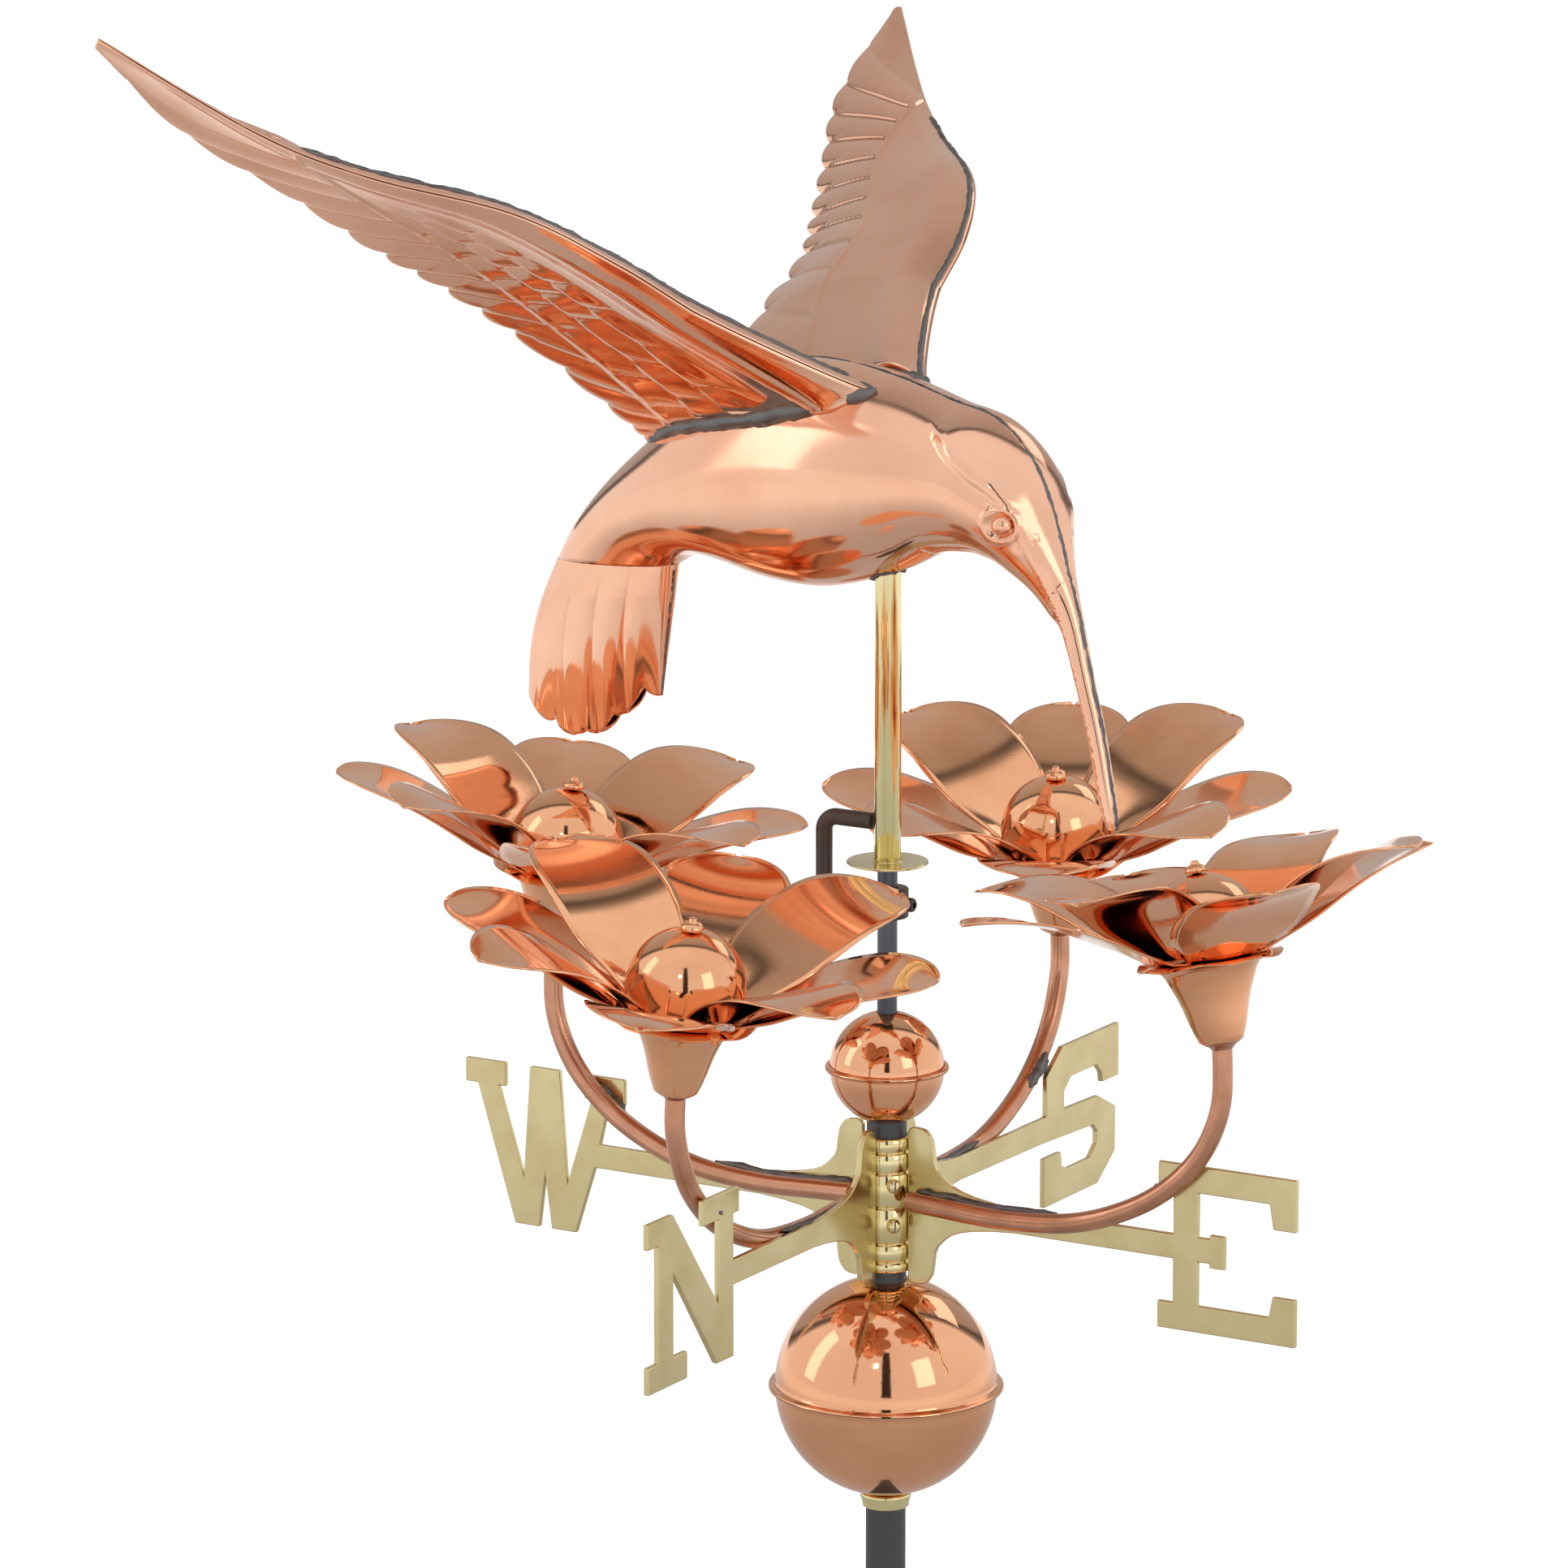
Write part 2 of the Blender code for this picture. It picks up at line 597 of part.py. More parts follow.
def make_sleeve(brass, steel, vane):
    """The bird's tube, the flange at its foot and the plug that rests on the pivot ball."""
    tube = [
        (TUBE_BORE_RADIUS, TUBE_FOOT), (TUBE_RADIUS, TUBE_FOOT), (TUBE_RADIUS, TUBE_TOP),
        (TUBE_BORE_RADIUS, TUBE_TOP),
    ]
    new_object("vane_tube", turned(tube, 20), brass, vane)
    hole = TUBE_RADIUS + GAP
    top = TUBE_FOOT + FLANGE_THICKNESS
    washer = [(hole, TUBE_FOOT), (FLANGE_RADIUS, TUBE_FOOT), (FLANGE_RADIUS, top), (hole, top)]
    new_object("tube_flange", turned(washer), brass, vane)
    foot = SPINDLE_TOP + 2 * GAP + 2 * PIVOT_RADIUS
    reach = TUBE_BORE_RADIUS - GAP / 2
    plug = [(0, foot), (reach, foot), (reach, TUBE_TOP), (0, TUBE_TOP)]
    new_object("tube_plug", turned(plug, 16, closed=False), steel, vane)


def retainer_route():
    """(x, z) points of the bracket's bar: out, up through two bends and back towards the tube."""
    middle = -RETAINER_REACH + RETAINER_BEND
    lift = RETAINER_RISE - RETAINER_BEND
    route = [(-RETAINER_COLLAR_RADIUS + 2.5, 0), (middle, 0)]
    for height, start in ((RETAINER_BEND, 270), (lift, 180)):
        for turn in (30, 60, 90):
            angle = math.radians(start - turn)
            route.append((middle + RETAINER_BEND * math.cos(angle), height + RETAINER_BEND * math.sin(angle)))
        if height == RETAINER_BEND:
            route.append((-RETAINER_REACH, lift))
    return route + [(-TUBE_RADIUS - 1.2, RETAINER_RISE)]


def make_retainer(iron, retainer):
    """The collar round the spindle with its bent bar in one piece, and the screw that locks it."""
    half, outside = RETAINER_COLLAR_HALF, RETAINER_COLLAR_RADIUS
    bore = SPINDLE_RADIUS + GAP
    collar = [(bore, -half), (outside, -half), (outside, half), (bore, half)]
    arm = new_object("retainer_arm", turned(collar, 20), iron, retainer)
    path = [(x, 0, z) for x, z in retainer_route()]
    bar = new_object("retainer_bar", swept(path, RETAINER_ROD), iron, retainer)
    cut(arm, bar, "UNION")
    shank, head, head_top = 1.8, 3.4, outside + 4.6
    clear = shank + GAP
    hole = [(0, bore / 2), (clear, bore / 2), (clear, head_top), (0, head_top)]
    drill = new_object("drill_retainer", turned(hole, 10, closed=False), iron, retainer)
    drill.rotation_euler.y = math.pi / 2
    cut(arm, drill)
    screw = [
        (0, bore + 0.2), (shank, bore + 0.2), (shank, outside + GAP), (head, outside + GAP), (head, head_top - 1),
        (head - 1, head_top), (0, head_top),
    ]
    made = new_object("retainer_screw", turned(screw, 10, closed=False), iron, retainer)
    made.rotation_euler.y = math.pi / 2


def main():
    clear_scene()
    copper = metal("polished_copper", (0.86, 0.45, 0.32), 0.12)
    brass = metal("brass", (0.72, 0.61, 0.34), 0.28)
    steel = metal("grey_steel", (0.16, 0.17, 0.18), 0.45)
    iron = metal("dark_iron", (0.05, 0.035, 0.03), 0.4)
    compass = new_empty("compass")
    vane = new_empty("vane", rotation=(0, 0, HEADING))
    retainer = new_empty("retainer", location=(0, 0, RETAINER_HEIGHT))
    make_mast(steel, brass, copper)
    make_hub(brass, compass)
    make_plates(brass, compass)
    for letter in LETTERS:
        make_flower(letter, copper, compass)
    make_body(copper, vane)
    make_tail(copper, vane)
    make_wings(copper, vane)
    make_sleeve(brass, steel, vane)
    make_retainer(iron, retainer)


main()
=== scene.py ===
"""A copper hummingbird weather vane over four copper flowers, with brass compass letters.

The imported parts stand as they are, and each section below builds the finished surface of one part or
one group of like parts, in metres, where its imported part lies.
"""

import math

import bmesh
import bpy
import numpy as np
from mathutils import Matrix, Vector


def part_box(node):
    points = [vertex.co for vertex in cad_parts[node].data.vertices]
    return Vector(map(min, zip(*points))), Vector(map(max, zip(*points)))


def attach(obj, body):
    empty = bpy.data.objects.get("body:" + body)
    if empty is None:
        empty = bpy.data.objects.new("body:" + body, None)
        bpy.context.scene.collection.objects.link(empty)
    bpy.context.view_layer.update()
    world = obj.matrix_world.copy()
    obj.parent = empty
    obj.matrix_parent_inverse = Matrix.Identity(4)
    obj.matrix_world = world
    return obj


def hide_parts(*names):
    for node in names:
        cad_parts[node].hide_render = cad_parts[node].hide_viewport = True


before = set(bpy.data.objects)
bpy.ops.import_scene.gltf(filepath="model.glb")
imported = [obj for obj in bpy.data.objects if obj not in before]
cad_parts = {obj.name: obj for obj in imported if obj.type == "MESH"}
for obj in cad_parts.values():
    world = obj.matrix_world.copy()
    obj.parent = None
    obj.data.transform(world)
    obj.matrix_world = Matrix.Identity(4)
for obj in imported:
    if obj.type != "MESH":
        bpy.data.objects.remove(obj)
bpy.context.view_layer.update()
MM = 0.001


# Copper sheet. Every copper piece is the same stock, polished to a mirror and left bare, so the metal
# varies only by what was done to it: rubbed bright, drawn through a die, or heated beside the solder.
def new_group(name, inputs, outputs):
    group = bpy.data.node_groups.new(name, "ShaderNodeTree")
    for label, kind, value in inputs:
        socket = group.interface.new_socket(label, in_out="INPUT", socket_type=kind)
        if value is not None:
            socket.default_value = value
    for label, kind in outputs:
        group.interface.new_socket(label, in_out="OUTPUT", socket_type=kind)
    return group, group.nodes.new("NodeGroupInput"), group.nodes.new("NodeGroupOutput")


def joined(tree, *pairs):
    for source, target in pairs:
        tree.links.new(source, target)


# Handling haze: soft clouds where the polish has been touched, with fine rubbing lines across them.
polish_wear, wear_in, wear_out = new_group(
    "polish_wear",
    [
        ("Bright Colour", "NodeSocketColor", (0.9, 0.55, 0.42, 1)),
        ("Warm Colour", "NodeSocketColor", (0.8, 0.4, 0.28, 1)),
        ("Cloud Size", "NodeSocketFloat", 25.0),
        ("Smoothest", "NodeSocketFloat", 0.05),
        ("Roughest", "NodeSocketFloat", 0.12),
    ],
    [("Colour", "NodeSocketColor"), ("Roughness", "NodeSocketFloat"), ("Height", "NodeSocketFloat")],
)
wear_place = polish_wear.nodes.new("ShaderNodeTexCoord")
clouds = polish_wear.nodes.new("ShaderNodeTexNoise")
clouds.inputs["Detail"].default_value = 4.0
lines = polish_wear.nodes.new("ShaderNodeTexNoise")
lines.inputs["Scale"].default_value = 900.0
lines.inputs["Detail"].default_value = 2.0
colour_mix = polish_wear.nodes.new("ShaderNodeMix")
colour_mix.data_type = "RGBA"
spread = polish_wear.nodes.new("ShaderNodeMapRange")
spread.inputs["From Min"].default_value = 0.35
spread.inputs["From Max"].default_value = 0.7
rub = polish_wear.nodes.new("ShaderNodeMapRange")
joined(
    polish_wear,
    (wear_place.outputs["Object"], clouds.inputs["Vector"]),
    (wear_place.outputs["Object"], lines.inputs["Vector"]),
    (wear_in.outputs["Cloud Size"], clouds.inputs["Scale"]),
    (clouds.outputs["Fac"], spread.inputs["Value"]),
    (spread.outputs["Result"], colour_mix.inputs["Factor"]),
    (wear_in.outputs["Bright Colour"], colour_mix.inputs["A"]),
    (wear_in.outputs["Warm Colour"], colour_mix.inputs["B"]),
    (spread.outputs["Result"], rub.inputs["Value"]),
    (wear_in.outputs["Smoothest"], rub.inputs["To Min"]),
    (wear_in.outputs["Roughest"], rub.inputs["To Max"]),
    (colour_mix.outputs["Result"], wear_out.inputs["Colour"]),
    (rub.outputs["Result"], wear_out.inputs["Roughness"]),
    (lines.outputs["Fac"], wear_out.inputs["Height"]),
)


def worn_metal(name, bright, warm, smoothest, roughest, cloud_size=25.0, bump=0.00001, metallic=1.0):
    """A metal with cloudy handling marks and a fine surface of its own."""
    made = bpy.data.materials.new(name)
    made.use_nodes = True
    made.diffuse_color = (*bright, 1)
    tree = made.node_tree
    shader = tree.nodes["Principled BSDF"]
    shader.inputs["Metallic"].default_value = metallic
    wear = tree.nodes.new("ShaderNodeGroup")
    wear.node_tree = polish_wear
    wear.inputs["Bright Colour"].default_value = (*bright, 1)
    wear.inputs["Warm Colour"].default_value = (*warm, 1)
    wear.inputs["Cloud Size"].default_value = cloud_size
    wear.inputs["Smoothest"].default_value = smoothest
    wear.inputs["Roughest"].default_value = roughest
    surface = tree.nodes.new("ShaderNodeBump")
    surface.inputs["Distance"].default_value = bump
    joined(
        tree,
        (wear.outputs["Colour"], shader.inputs["Base Color"]),
        (wear.outputs["Roughness"], shader.inputs["Roughness"]),
        (wear.outputs["Height"], surface.inputs["Height"]),
        (surface.outputs["Normal"], shader.inputs["Normal"]),
    )
    return made


sheet_copper = worn_metal("sheet_copper", (0.90, 0.53, 0.37), (0.82, 0.44, 0.29), 0.07, 0.16, 18.0)
flower_copper = worn_metal("flower_copper", (0.88, 0.46, 0.26), (0.80, 0.38, 0.20), 0.05, 0.12, 30.0)
globe_copper = worn_metal("globe_copper", (0.85, 0.44, 0.25), (0.80, 0.39, 0.22), 0.04, 0.08, 30.0)
stem_copper = worn_metal("stem_copper", (0.62, 0.31, 0.20), (0.48, 0.23, 0.14), 0.16, 0.3, 60.0, 0.00004)
# The same dull grey also makes the bars across the hub screws, where it is painted shade for their slots.
solder_and_slot_shade = worn_metal("solder_and_slot_shade", (0.13, 0.13, 0.14), (0.22, 0.20, 0.19), 0.34, 0.6, 120.0, 0.0002)


# A piece is made from points in millimetres and given its body and its finish, and the part it stands for is
# hidden.
def finished(name, points, faces, material, body, slot, stands_for=(), place=None, smooth=True, sharp=None):
    if place is not None:
        points = [place @ Vector(p) for p in points]
    mesh = bpy.data.meshes.new(name)
    mesh.from_pydata([tuple(float(c) * MM for c in p) for p in points], [], faces)
    shape = bmesh.new()
    shape.from_mesh(mesh)
    bmesh.ops.recalc_face_normals(shape, faces=shape.faces)
    shape.to_mesh(mesh)
    shape.free()
    if smooth:
        mesh.shade_smooth()
    if sharp:
        mesh.set_sharp_from_angle(angle=math.radians(sharp))
    mesh.materials.append(material)
    made = bpy.data.objects.new(name, mesh)
    bpy.context.scene.collection.objects.link(made)
    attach(made, body)
    if stands_for:
        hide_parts(*stands_for)
    return made


def turned(profile, segments=96, closed=True):
    """A turned shape about Z from (radius, height) points; radius 0 makes a pole."""
    points, rings = [], []
    for radius, height in profile:
        first = len(points)
        count = 1 if radius == 0 else segments
        for k in range(count):
            angle = 2 * math.pi * k / segments
            points.append((radius * math.cos(angle), radius * math.sin(angle), height))
        rings.append([first + k % count for k in range(segments)])
    pairs = list(zip(rings, rings[1:]))
    if closed:
        pairs.append((rings[-1], rings[0]))
    faces = []
    for low, high in pairs:
        for k in range(segments):
            corners = [low[k], low[(k + 1) % segments], high[(k + 1) % segments], high[k]]
            face = list(dict.fromkeys(corners))
            if len(face) > 2:
                faces.append(face)
    return points, faces


def arc(radius, start, end, count):
    """(radius, height) points round an arc about the origin, between two latitudes in radians."""
    steps = [start + (end - start) * k / count for k in range(count + 1)]
    return [(radius * math.cos(a), radius * math.sin(a)) for a in steps]


# The mast: a length of 3/4 inch steel tube with a satin grey coat, and the bright 3/8 inch spindle that
# stands out of it and carries the bird. The bush, ball and plug inside keep their shape and are bare steel.
mast_coat = worn_metal("mast_coat", (0.07, 0.072, 0.078), (0.055, 0.057, 0.06), 0.38, 0.5, 40.0, 0.00003, 0.3)
spindle_steel = worn_metal(
    "spindle_steel", (0.10, 0.11, 0.125), (0.08, 0.085, 0.10), 0.3, 0.42, 40.0, 0.00002
)
for node in ("spindle_bush", "pivot_ball", "tube_plug"):
    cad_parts[node].data.materials.clear()
    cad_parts[node].data.materials.append(spindle_steel)
MAST_BORE = 7.875
MAST_FLOOR = 3
mast_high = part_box("mast_tube")[1]
mast_radius = mast_high.x / MM
mast_top = mast_high.z / MM
mast_profile = [
    (0, 0), (mast_radius - 0.4, 0), (mast_radius, 0.4), (mast_radius, mast_top - 0.5),
    (mast_radius - 0.5, mast_top), (MAST_BORE, mast_top), (MAST_BORE, MAST_FLOOR), (0, MAST_FLOOR),
]
finished(
    "mast_tube_finish", *turned(mast_profile, closed=False), mast_coat, "mast", "steel_mast",
    ("mast_tube",), sharp=40,
)
rod_low, rod_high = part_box("spindle_rod")
rod_radius, rod_foot, rod_top = rod_high.x / MM, rod_low.z / MM, rod_high.z / MM
rod_profile = [(0, rod_foot), (rod_radius, rod_foot), (rod_radius, rod_top - 2), (rod_radius - 2, rod_top)]
rod_profile += [(0, rod_top)]
finished(
    "spindle_rod_finish", *turned(rod_profile, 64, False), spindle_steel, "mast", "steel_mast",
    ("spindle_rod",), sharp=30,
)


# The two globes: spun copper half shells, each with half of the bead where the pair is soldered. The
# bead is rounded by hand with a burnisher, so its edge is soft.
GLOBE_RADIUS = {"lower": 53.0, "upper": 27.2}
GLOBE_SHEET = 1.0
BEAD_ROUND = 1.3
SEAM_HALF_GAP = 0.15
SLIP = 0.3
for node in ("lower_globe_bottom", "lower_globe_top", "upper_globe_bottom", "upper_globe_top"):
    low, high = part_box(node)
    upward = node.endswith("top")
    bead = high.x / MM
    seat = (low.z if upward else high.z) / MM
    opening = (rod_radius if node == "upper_globe_top" else mast_radius) + SLIP
    radius = GLOBE_RADIUS[node.split("_")[0]]
    inside = radius - GLOBE_SHEET
    centre = seat - SEAM_HALF_GAP if upward else seat + SEAM_HALF_GAP
    shell = arc(radius, math.radians(2.2), math.acos(opening / radius), 40)
    lining = arc(inside, math.acos(opening / inside), math.radians(0.4), 24)
    bead_round = [
        (bead - BEAD_ROUND + BEAD_ROUND * math.cos(a), BEAD_ROUND * math.sin(a))
        for a in (0.12, 0.4, 0.75, 1.1, 1.5)
    ]
    lip = [(inside, SEAM_HALF_GAP), (bead - 0.2, SEAM_HALF_GAP)] + bead_round
    lip += [(radius + 0.9, 1.25), (radius + 0.35, 1.55)]
    profile = [(r, centre + (h if upward else -h)) for r, h in lip + shell + lining]
    finished(
        node + "_finish", *turned(profile, 128), globe_copper, "mast", "copper_globes", (node,), sharp=50
    )


# The flowers: a bell, two sheets of four petals, a ball and its button, each pressed in thin copper and
# soldered one on the next round the same axis, which was set by hand and leans a little.
STEM_OFFSET = 6.55
STEM_REACH = 181.0
COLLAR_RADIUS = 28
PETAL_LENGTH = 86
# For each compass point: the arm's bearing, the side of the plate that its stem lies on, the height of the
# flower's foot, how far it leans outward and sideways, and how far its petals are turned.
POINTS = {
    "e": (0, -1, 404, 12, -3, 46),
    "n": (-90, -1, 395, -4, -9, 20),
    "w": (180, 1, 405, 7, 2, 32),
    "s": (90, 1, 397, 9, 3, 24),
}


def spun(point, angle):
    x, y, z = point
    return x * math.cos(angle) - y * math.sin(angle), x * math.sin(angle) + y * math.cos(angle), z


def leaning(lean, side_lean):
    """The tilt of a flower's axis: outward along its arm, and to the arm's side."""
    return Matrix.Rotation(math.radians(-lean), 4, "Y") @ Matrix.Rotation(math.radians(side_lean), 4, "X")


def petal_point(t, w, rise, droop, width):
    """A point of a petal that lies along +X: t from root to rounded tip, w from one edge to the other."""
    spread = width * math.sin(math.pi * (0.22 + 0.7 * min(t, 0.5))) ** 0.7
    if t > 0.5:
        spread *= math.sqrt(max(0.0, 1 - ((t - 0.5) / 0.5) ** 2.2))
    x = COLLAR_RADIUS + PETAL_LENGTH * t
    y = spread * w
    root = max(0.0, 1 - t / 0.25) ** 2
    ring = math.radians(38) * w
    x = x * (1 - root) + (COLLAR_RADIUS * math.cos(ring) + PETAL_LENGTH * t) * root
    y = y * (1 - root) + (COLLAR_RADIUS * math.sin(ring)) * root
    z = (rise - 6) * (1 - (1 - t) ** 2.0) - (droop - 6) * t * t + 2.5 * min(t, 0.66) * w * w
    return x, y, z


def petal_sheet(rise, droop, width, turn, height):
    """Four petals and their collar as one open sheet, which is thickened afterwards."""
    steps, across, ring_steps = 34, 16, 3
    top, faces = [], []
    roots = []
    for petal in range(4):
        middle = turn + petal * math.pi / 2
        grid = []
        for i in range(steps + 1):
            row = []
            for j in range(across + 1):
                row.append(len(top))
                t = 1 - (1 - i / steps) ** 1.45 if i < steps else 0.9995
                x, y, z = petal_point(t, 2 * j / across - 1, rise, droop, width)
                top.append(spun((x, y, z + height), middle))
            grid.append(row)
        roots += grid[0]
        for low, high in zip(grid, grid[1:]):
            for j in range(across):
                faces.append([low[j], low[j + 1], high[j + 1], high[j]])
    inner = roots
    for ring in range(1, ring_steps):
        share = 1 - ring / ring_steps
        circle = []
        for index in roots:
            circle.append(len(top))
            x, y, z = top[index]
            top.append((x * share, y * share, z))
        for k in range(len(roots)):
            after = (k + 1) % len(roots)
            faces.append([inner[k], inner[after], circle[after], circle[k]])
        inner = circle
    centre = len(top)
    top.append((0, 0, height))
    for k in range(len(inner)):
        faces.append([inner[k], inner[(k + 1) % len(inner)], centre])
    return top, faces


def add_thickness(piece, thick):
    thickness = piece.modifiers.new("thickness", "SOLIDIFY")
    thickness.thickness = thick * MM
    thickness.offset = 1.0


CALYX_RIM = 38.0
flare = [(0, 0), (9.4, 0), (10.4, 0.7), (11.2, 3), (12.4, 6), (13.9, 11), (15.5, 17), (17.3, 22.5)]
flare += [(19.6, 28), (21.8, 33), (25, 36.7), (29, 37.9), (34.1, 38.2), (34.5, 38.7)]
flare += [(34.1, 39.3), (23.5, 39.3), (18.2, 28), (14, 17), (9, 3), (0, 3)]
bell_points, bell_faces = turned(flare, 96, False)
waved = []
for x, y, z in bell_points:
    share = max(0.0, (math.hypot(x, y) - 26) / 8.5)
    angle = math.atan2(y, x)
    sag = (0.5 * math.sin(3 * angle + 1) - 0.6 * math.sin(7 * angle)) * share
    waved.append((x * (1 - 0.012 * share * (1 + math.sin(5 * angle))), y, z + sag - 0.7 * share))
BALL_RADIUS, BALL_INSIDE, BALL_CENTRE = 27.5, 26.5, 51
BALL_HOLE = 2.6
ball_foot = CALYX_RIM + 6.8 - BALL_CENTRE
dome = arc(BALL_RADIUS, math.asin(ball_foot / BALL_RADIUS), math.acos(BALL_HOLE / BALL_RADIUS), 40)
dome += arc(BALL_INSIDE, math.acos(BALL_HOLE / BALL_INSIDE), math.asin(ball_foot / BALL_INSIDE), 20)
BUTTON_FOOT = 79
button = [(0, 0), (4.9, 0), (5.3, 0.4), (5.3, 1.2), (4.9, 2.1), (4.2, 2.9), (3, 3.4), (2.2, 3.8), (1.9, 4.4)]
button += [(1.9, 5), (1.4, 5.5), (0, 5.6)]
for letter, (bearing, side, foot_height, lean, side_lean, turn) in POINTS.items():
    foot = Matrix.Translation((STEM_REACH, side * STEM_OFFSET, foot_height))
    arm = Matrix.Rotation(math.radians(bearing), 4, "Z")
    axis = arm @ foot @ leaning(lean, side_lean) @ Matrix.Rotation(math.radians(turn), 4, "Z")
    finished(
        f"calyx_{letter}_finish", waved, bell_faces, flower_copper, "compass", "copper_flowers",
        (f"calyx_{letter}",), axis, sharp=60,
    )
    for name, height, rise, droop, width, half_turn in (
        ("lower", CALYX_RIM + 1.6, 38, 5, 33, 0.0), ("upper", CALYX_RIM + 5.2, 52, 15, 32, math.pi / 4),
    ):
        piece = finished(
            f"petals_{name}_{letter}_finish", *petal_sheet(rise, droop, width, half_turn, height),
            flower_copper, "compass", "copper_flowers", (f"petals_{name}_{letter}",), axis,
        )
        add_thickness(piece, 0.9)
    finished(
        f"flower_ball_{letter}_finish", *turned([(r, h + BALL_CENTRE) for r, h in dome]), flower_copper,
        "compass", "copper_flowers", (f"flower_ball_{letter}",), axis, sharp=50,
    )
    finished(
        f"flower_button_{letter}_finish", *turned([(r, h + BUTTON_FOOT) for r, h in button], 48, False),
        flower_copper, "compass", "copper_flowers", (f"flower_button_{letter}",), axis, sharp=60,
    )


# The bird's body: two stamped copper half shells soldered along the back and belly. The right one is drawn
# here and the left is its mirror; a raised brow runs from the nape past the eye and on down the beak.
HEADING = Matrix.Rotation(math.radians(-12.0), 4, "Z")
# From rump to beak: the back's x and z, the belly's x and z, and the half width between them.
BODY = (
    ((-211, 585), (-137, 591), 14), ((-197, 605), (-124, 598), 20), ((-173, 629), (-108, 600), 27),
    ((-142, 654), (-90, 598), 33), ((-107, 680), (-66, 594), 37), ((-70, 697), (-40, 594), 39),
    ((-30, 701), (-16, 599), 39), ((8, 697), (10, 608), 37), ((40, 690), (34, 619), 33),
    ((66, 685), (56, 622), 30), ((86, 671), (73, 620), 27), ((98, 652), (84, 615), 21),
    ((105, 634), (94, 608), 14), ((111, 616), (102, 599), 8), ((117, 598), (109, 591), 5),
    ((124, 572), (117, 569), 4), ((131.5, 546), (125, 544), 3.6), ((138.5, 514), (133, 513), 3),
    ((140, 503), (137, 503), 1.9),
)
BROW = ((47, 686), (61, 673), (74, 664), (84, 658), (92, 650), (97, 641), (99, 630), (104, 617))
BROW += ((110, 600), (117, 580), (124, 558), (130, 532), (136, 508))
EYE = (88.5, 641.0)


def along(points, t):
    """The point at t from 0 to 1 on a smooth curve through all the points."""
    points = np.asarray(points, float)
    place = min(max(t, 0.0), 1.0) * (len(points) - 1)
    k = min(int(place), len(points) - 2)
    u = place - k
    a, b, c, d = (points[min(max(k + step, 0), len(points) - 1)] for step in (-1, 0, 1, 2))
    return 0.5 * (2 * b + (c - a) * u + (2 * a - 5 * b + 4 * c - d) * u**2 + (3 * b - a - 3 * c + d) * u**3)


brow_line = np.array([along(BROW, k / 120) for k in range(121)])
brow_length = np.linspace(0, 1, 121)


def raised_at(x, z):
    """How far the sheet stands out at a place on the side: brow, the hollow under it, and eye socket."""
    gaps = np.hypot(brow_line[:, 0] - x, brow_line[:, 1] - z)
    nearest = int(gaps.argmin())
    share = brow_length[nearest]
    width = 3.6 - 2.3 * min(share / 0.55, 1.0)
    height = 2.4 - 1.8 * min(share / 0.55, 1.0)
    fade = min(1.0, share / 0.06)
    ridge = height * fade * math.exp(-((gaps[nearest] / width) ** 2))
    below = z < brow_line[nearest, 1] and share < 0.5
    hollow = 0.7 * height * fade * math.exp(-(((gaps[nearest] - 2.1 * width) / width) ** 2)) * below
    eye_gap = math.hypot(x - EYE[0], z - EYE[1])
    socket = 1.7 * math.exp(-(((eye_gap - 7.2) / 1.2) ** 2)) - 1.6 * math.exp(-((eye_gap / 6.0) ** 4))
    return ridge - hollow + socket


def body_point(place, angle, detail=True):
    """A point of the right half at a station place from 0 to 1, angle up from its flank."""
    back = along([s[0] for s in BODY], place)
    belly = along([s[1] for s in BODY], place)
    width = along([[s[2]] for s in BODY], place)[0]
    x, z = (back + belly) / 2 + (back - belly) / 2 * math.sin(angle)
    out = width * math.cos(angle)
    if detail and x > 35:
        out = max(0.0, out + raised_at(x, z) * min(1.0, math.cos(angle) * 3))
    return x, -0.2 - out, z


def grid_faces(rows, columns):
    quads = []
    for i in range(rows - 1):
        for j in range(columns - 1):
            near, far = i * columns + j, (i + 1) * columns + j
            quads.append([near, near + 1, far + 1, far])
    return quads


body_places = sorted(set([k / 90 for k in range(91)] + [0.42 + 0.58 * k / 190 for k in range(191)]))
body_angles = [math.pi / 2 - math.pi * k / 72 for k in range(73)]
half_body = [body_point(place, angle) for place in body_places for angle in body_angles]
body_quads = grid_faces(len(body_places), len(body_angles))
for hand, mirror in (("right", 1), ("left", -1)):
    skin = [(x, y * mirror, z) for x, y, z in half_body]
    piece = finished(
        f"body_{hand}_finish", skin, body_quads, sheet_copper, "vane", "copper_bird",
        (f"body_{hand}",), HEADING,
    )
    add_thickness(piece, 0.8)


# The eyes: a small round dome of the same copper sheet as the body, pressed to shape and set in the
# middle of each socket.
def nearest_on_body(x, z):
    skin = np.array(half_body)
    return skin[np.hypot(skin[:, 0] - x, skin[:, 2] - z).argmin()]


eye_dome = arc(5.2, math.radians(-30), math.radians(88), 18)
eye_dome[-1] = (0, 5.2)
for hand, mirror in (("right", 1), ("left", -1)):
    seat = nearest_on_body(*EYE)
    turn = Matrix.Rotation(math.radians(90 * mirror), 4, "X")
    lean_out = Matrix.Rotation(math.radians(-18 * mirror), 4, "Z")
    at = Matrix.Translation((EYE[0], (seat[1] + 0.6) * mirror, EYE[1]))
    finished(
        f"eye_{hand}", *turned([(0, -2.6)] + eye_dome, 48, False), sheet_copper, "vane", "copper_bird",
        (), HEADING @ at @ lean_out @ turn, sharp=60,
    )


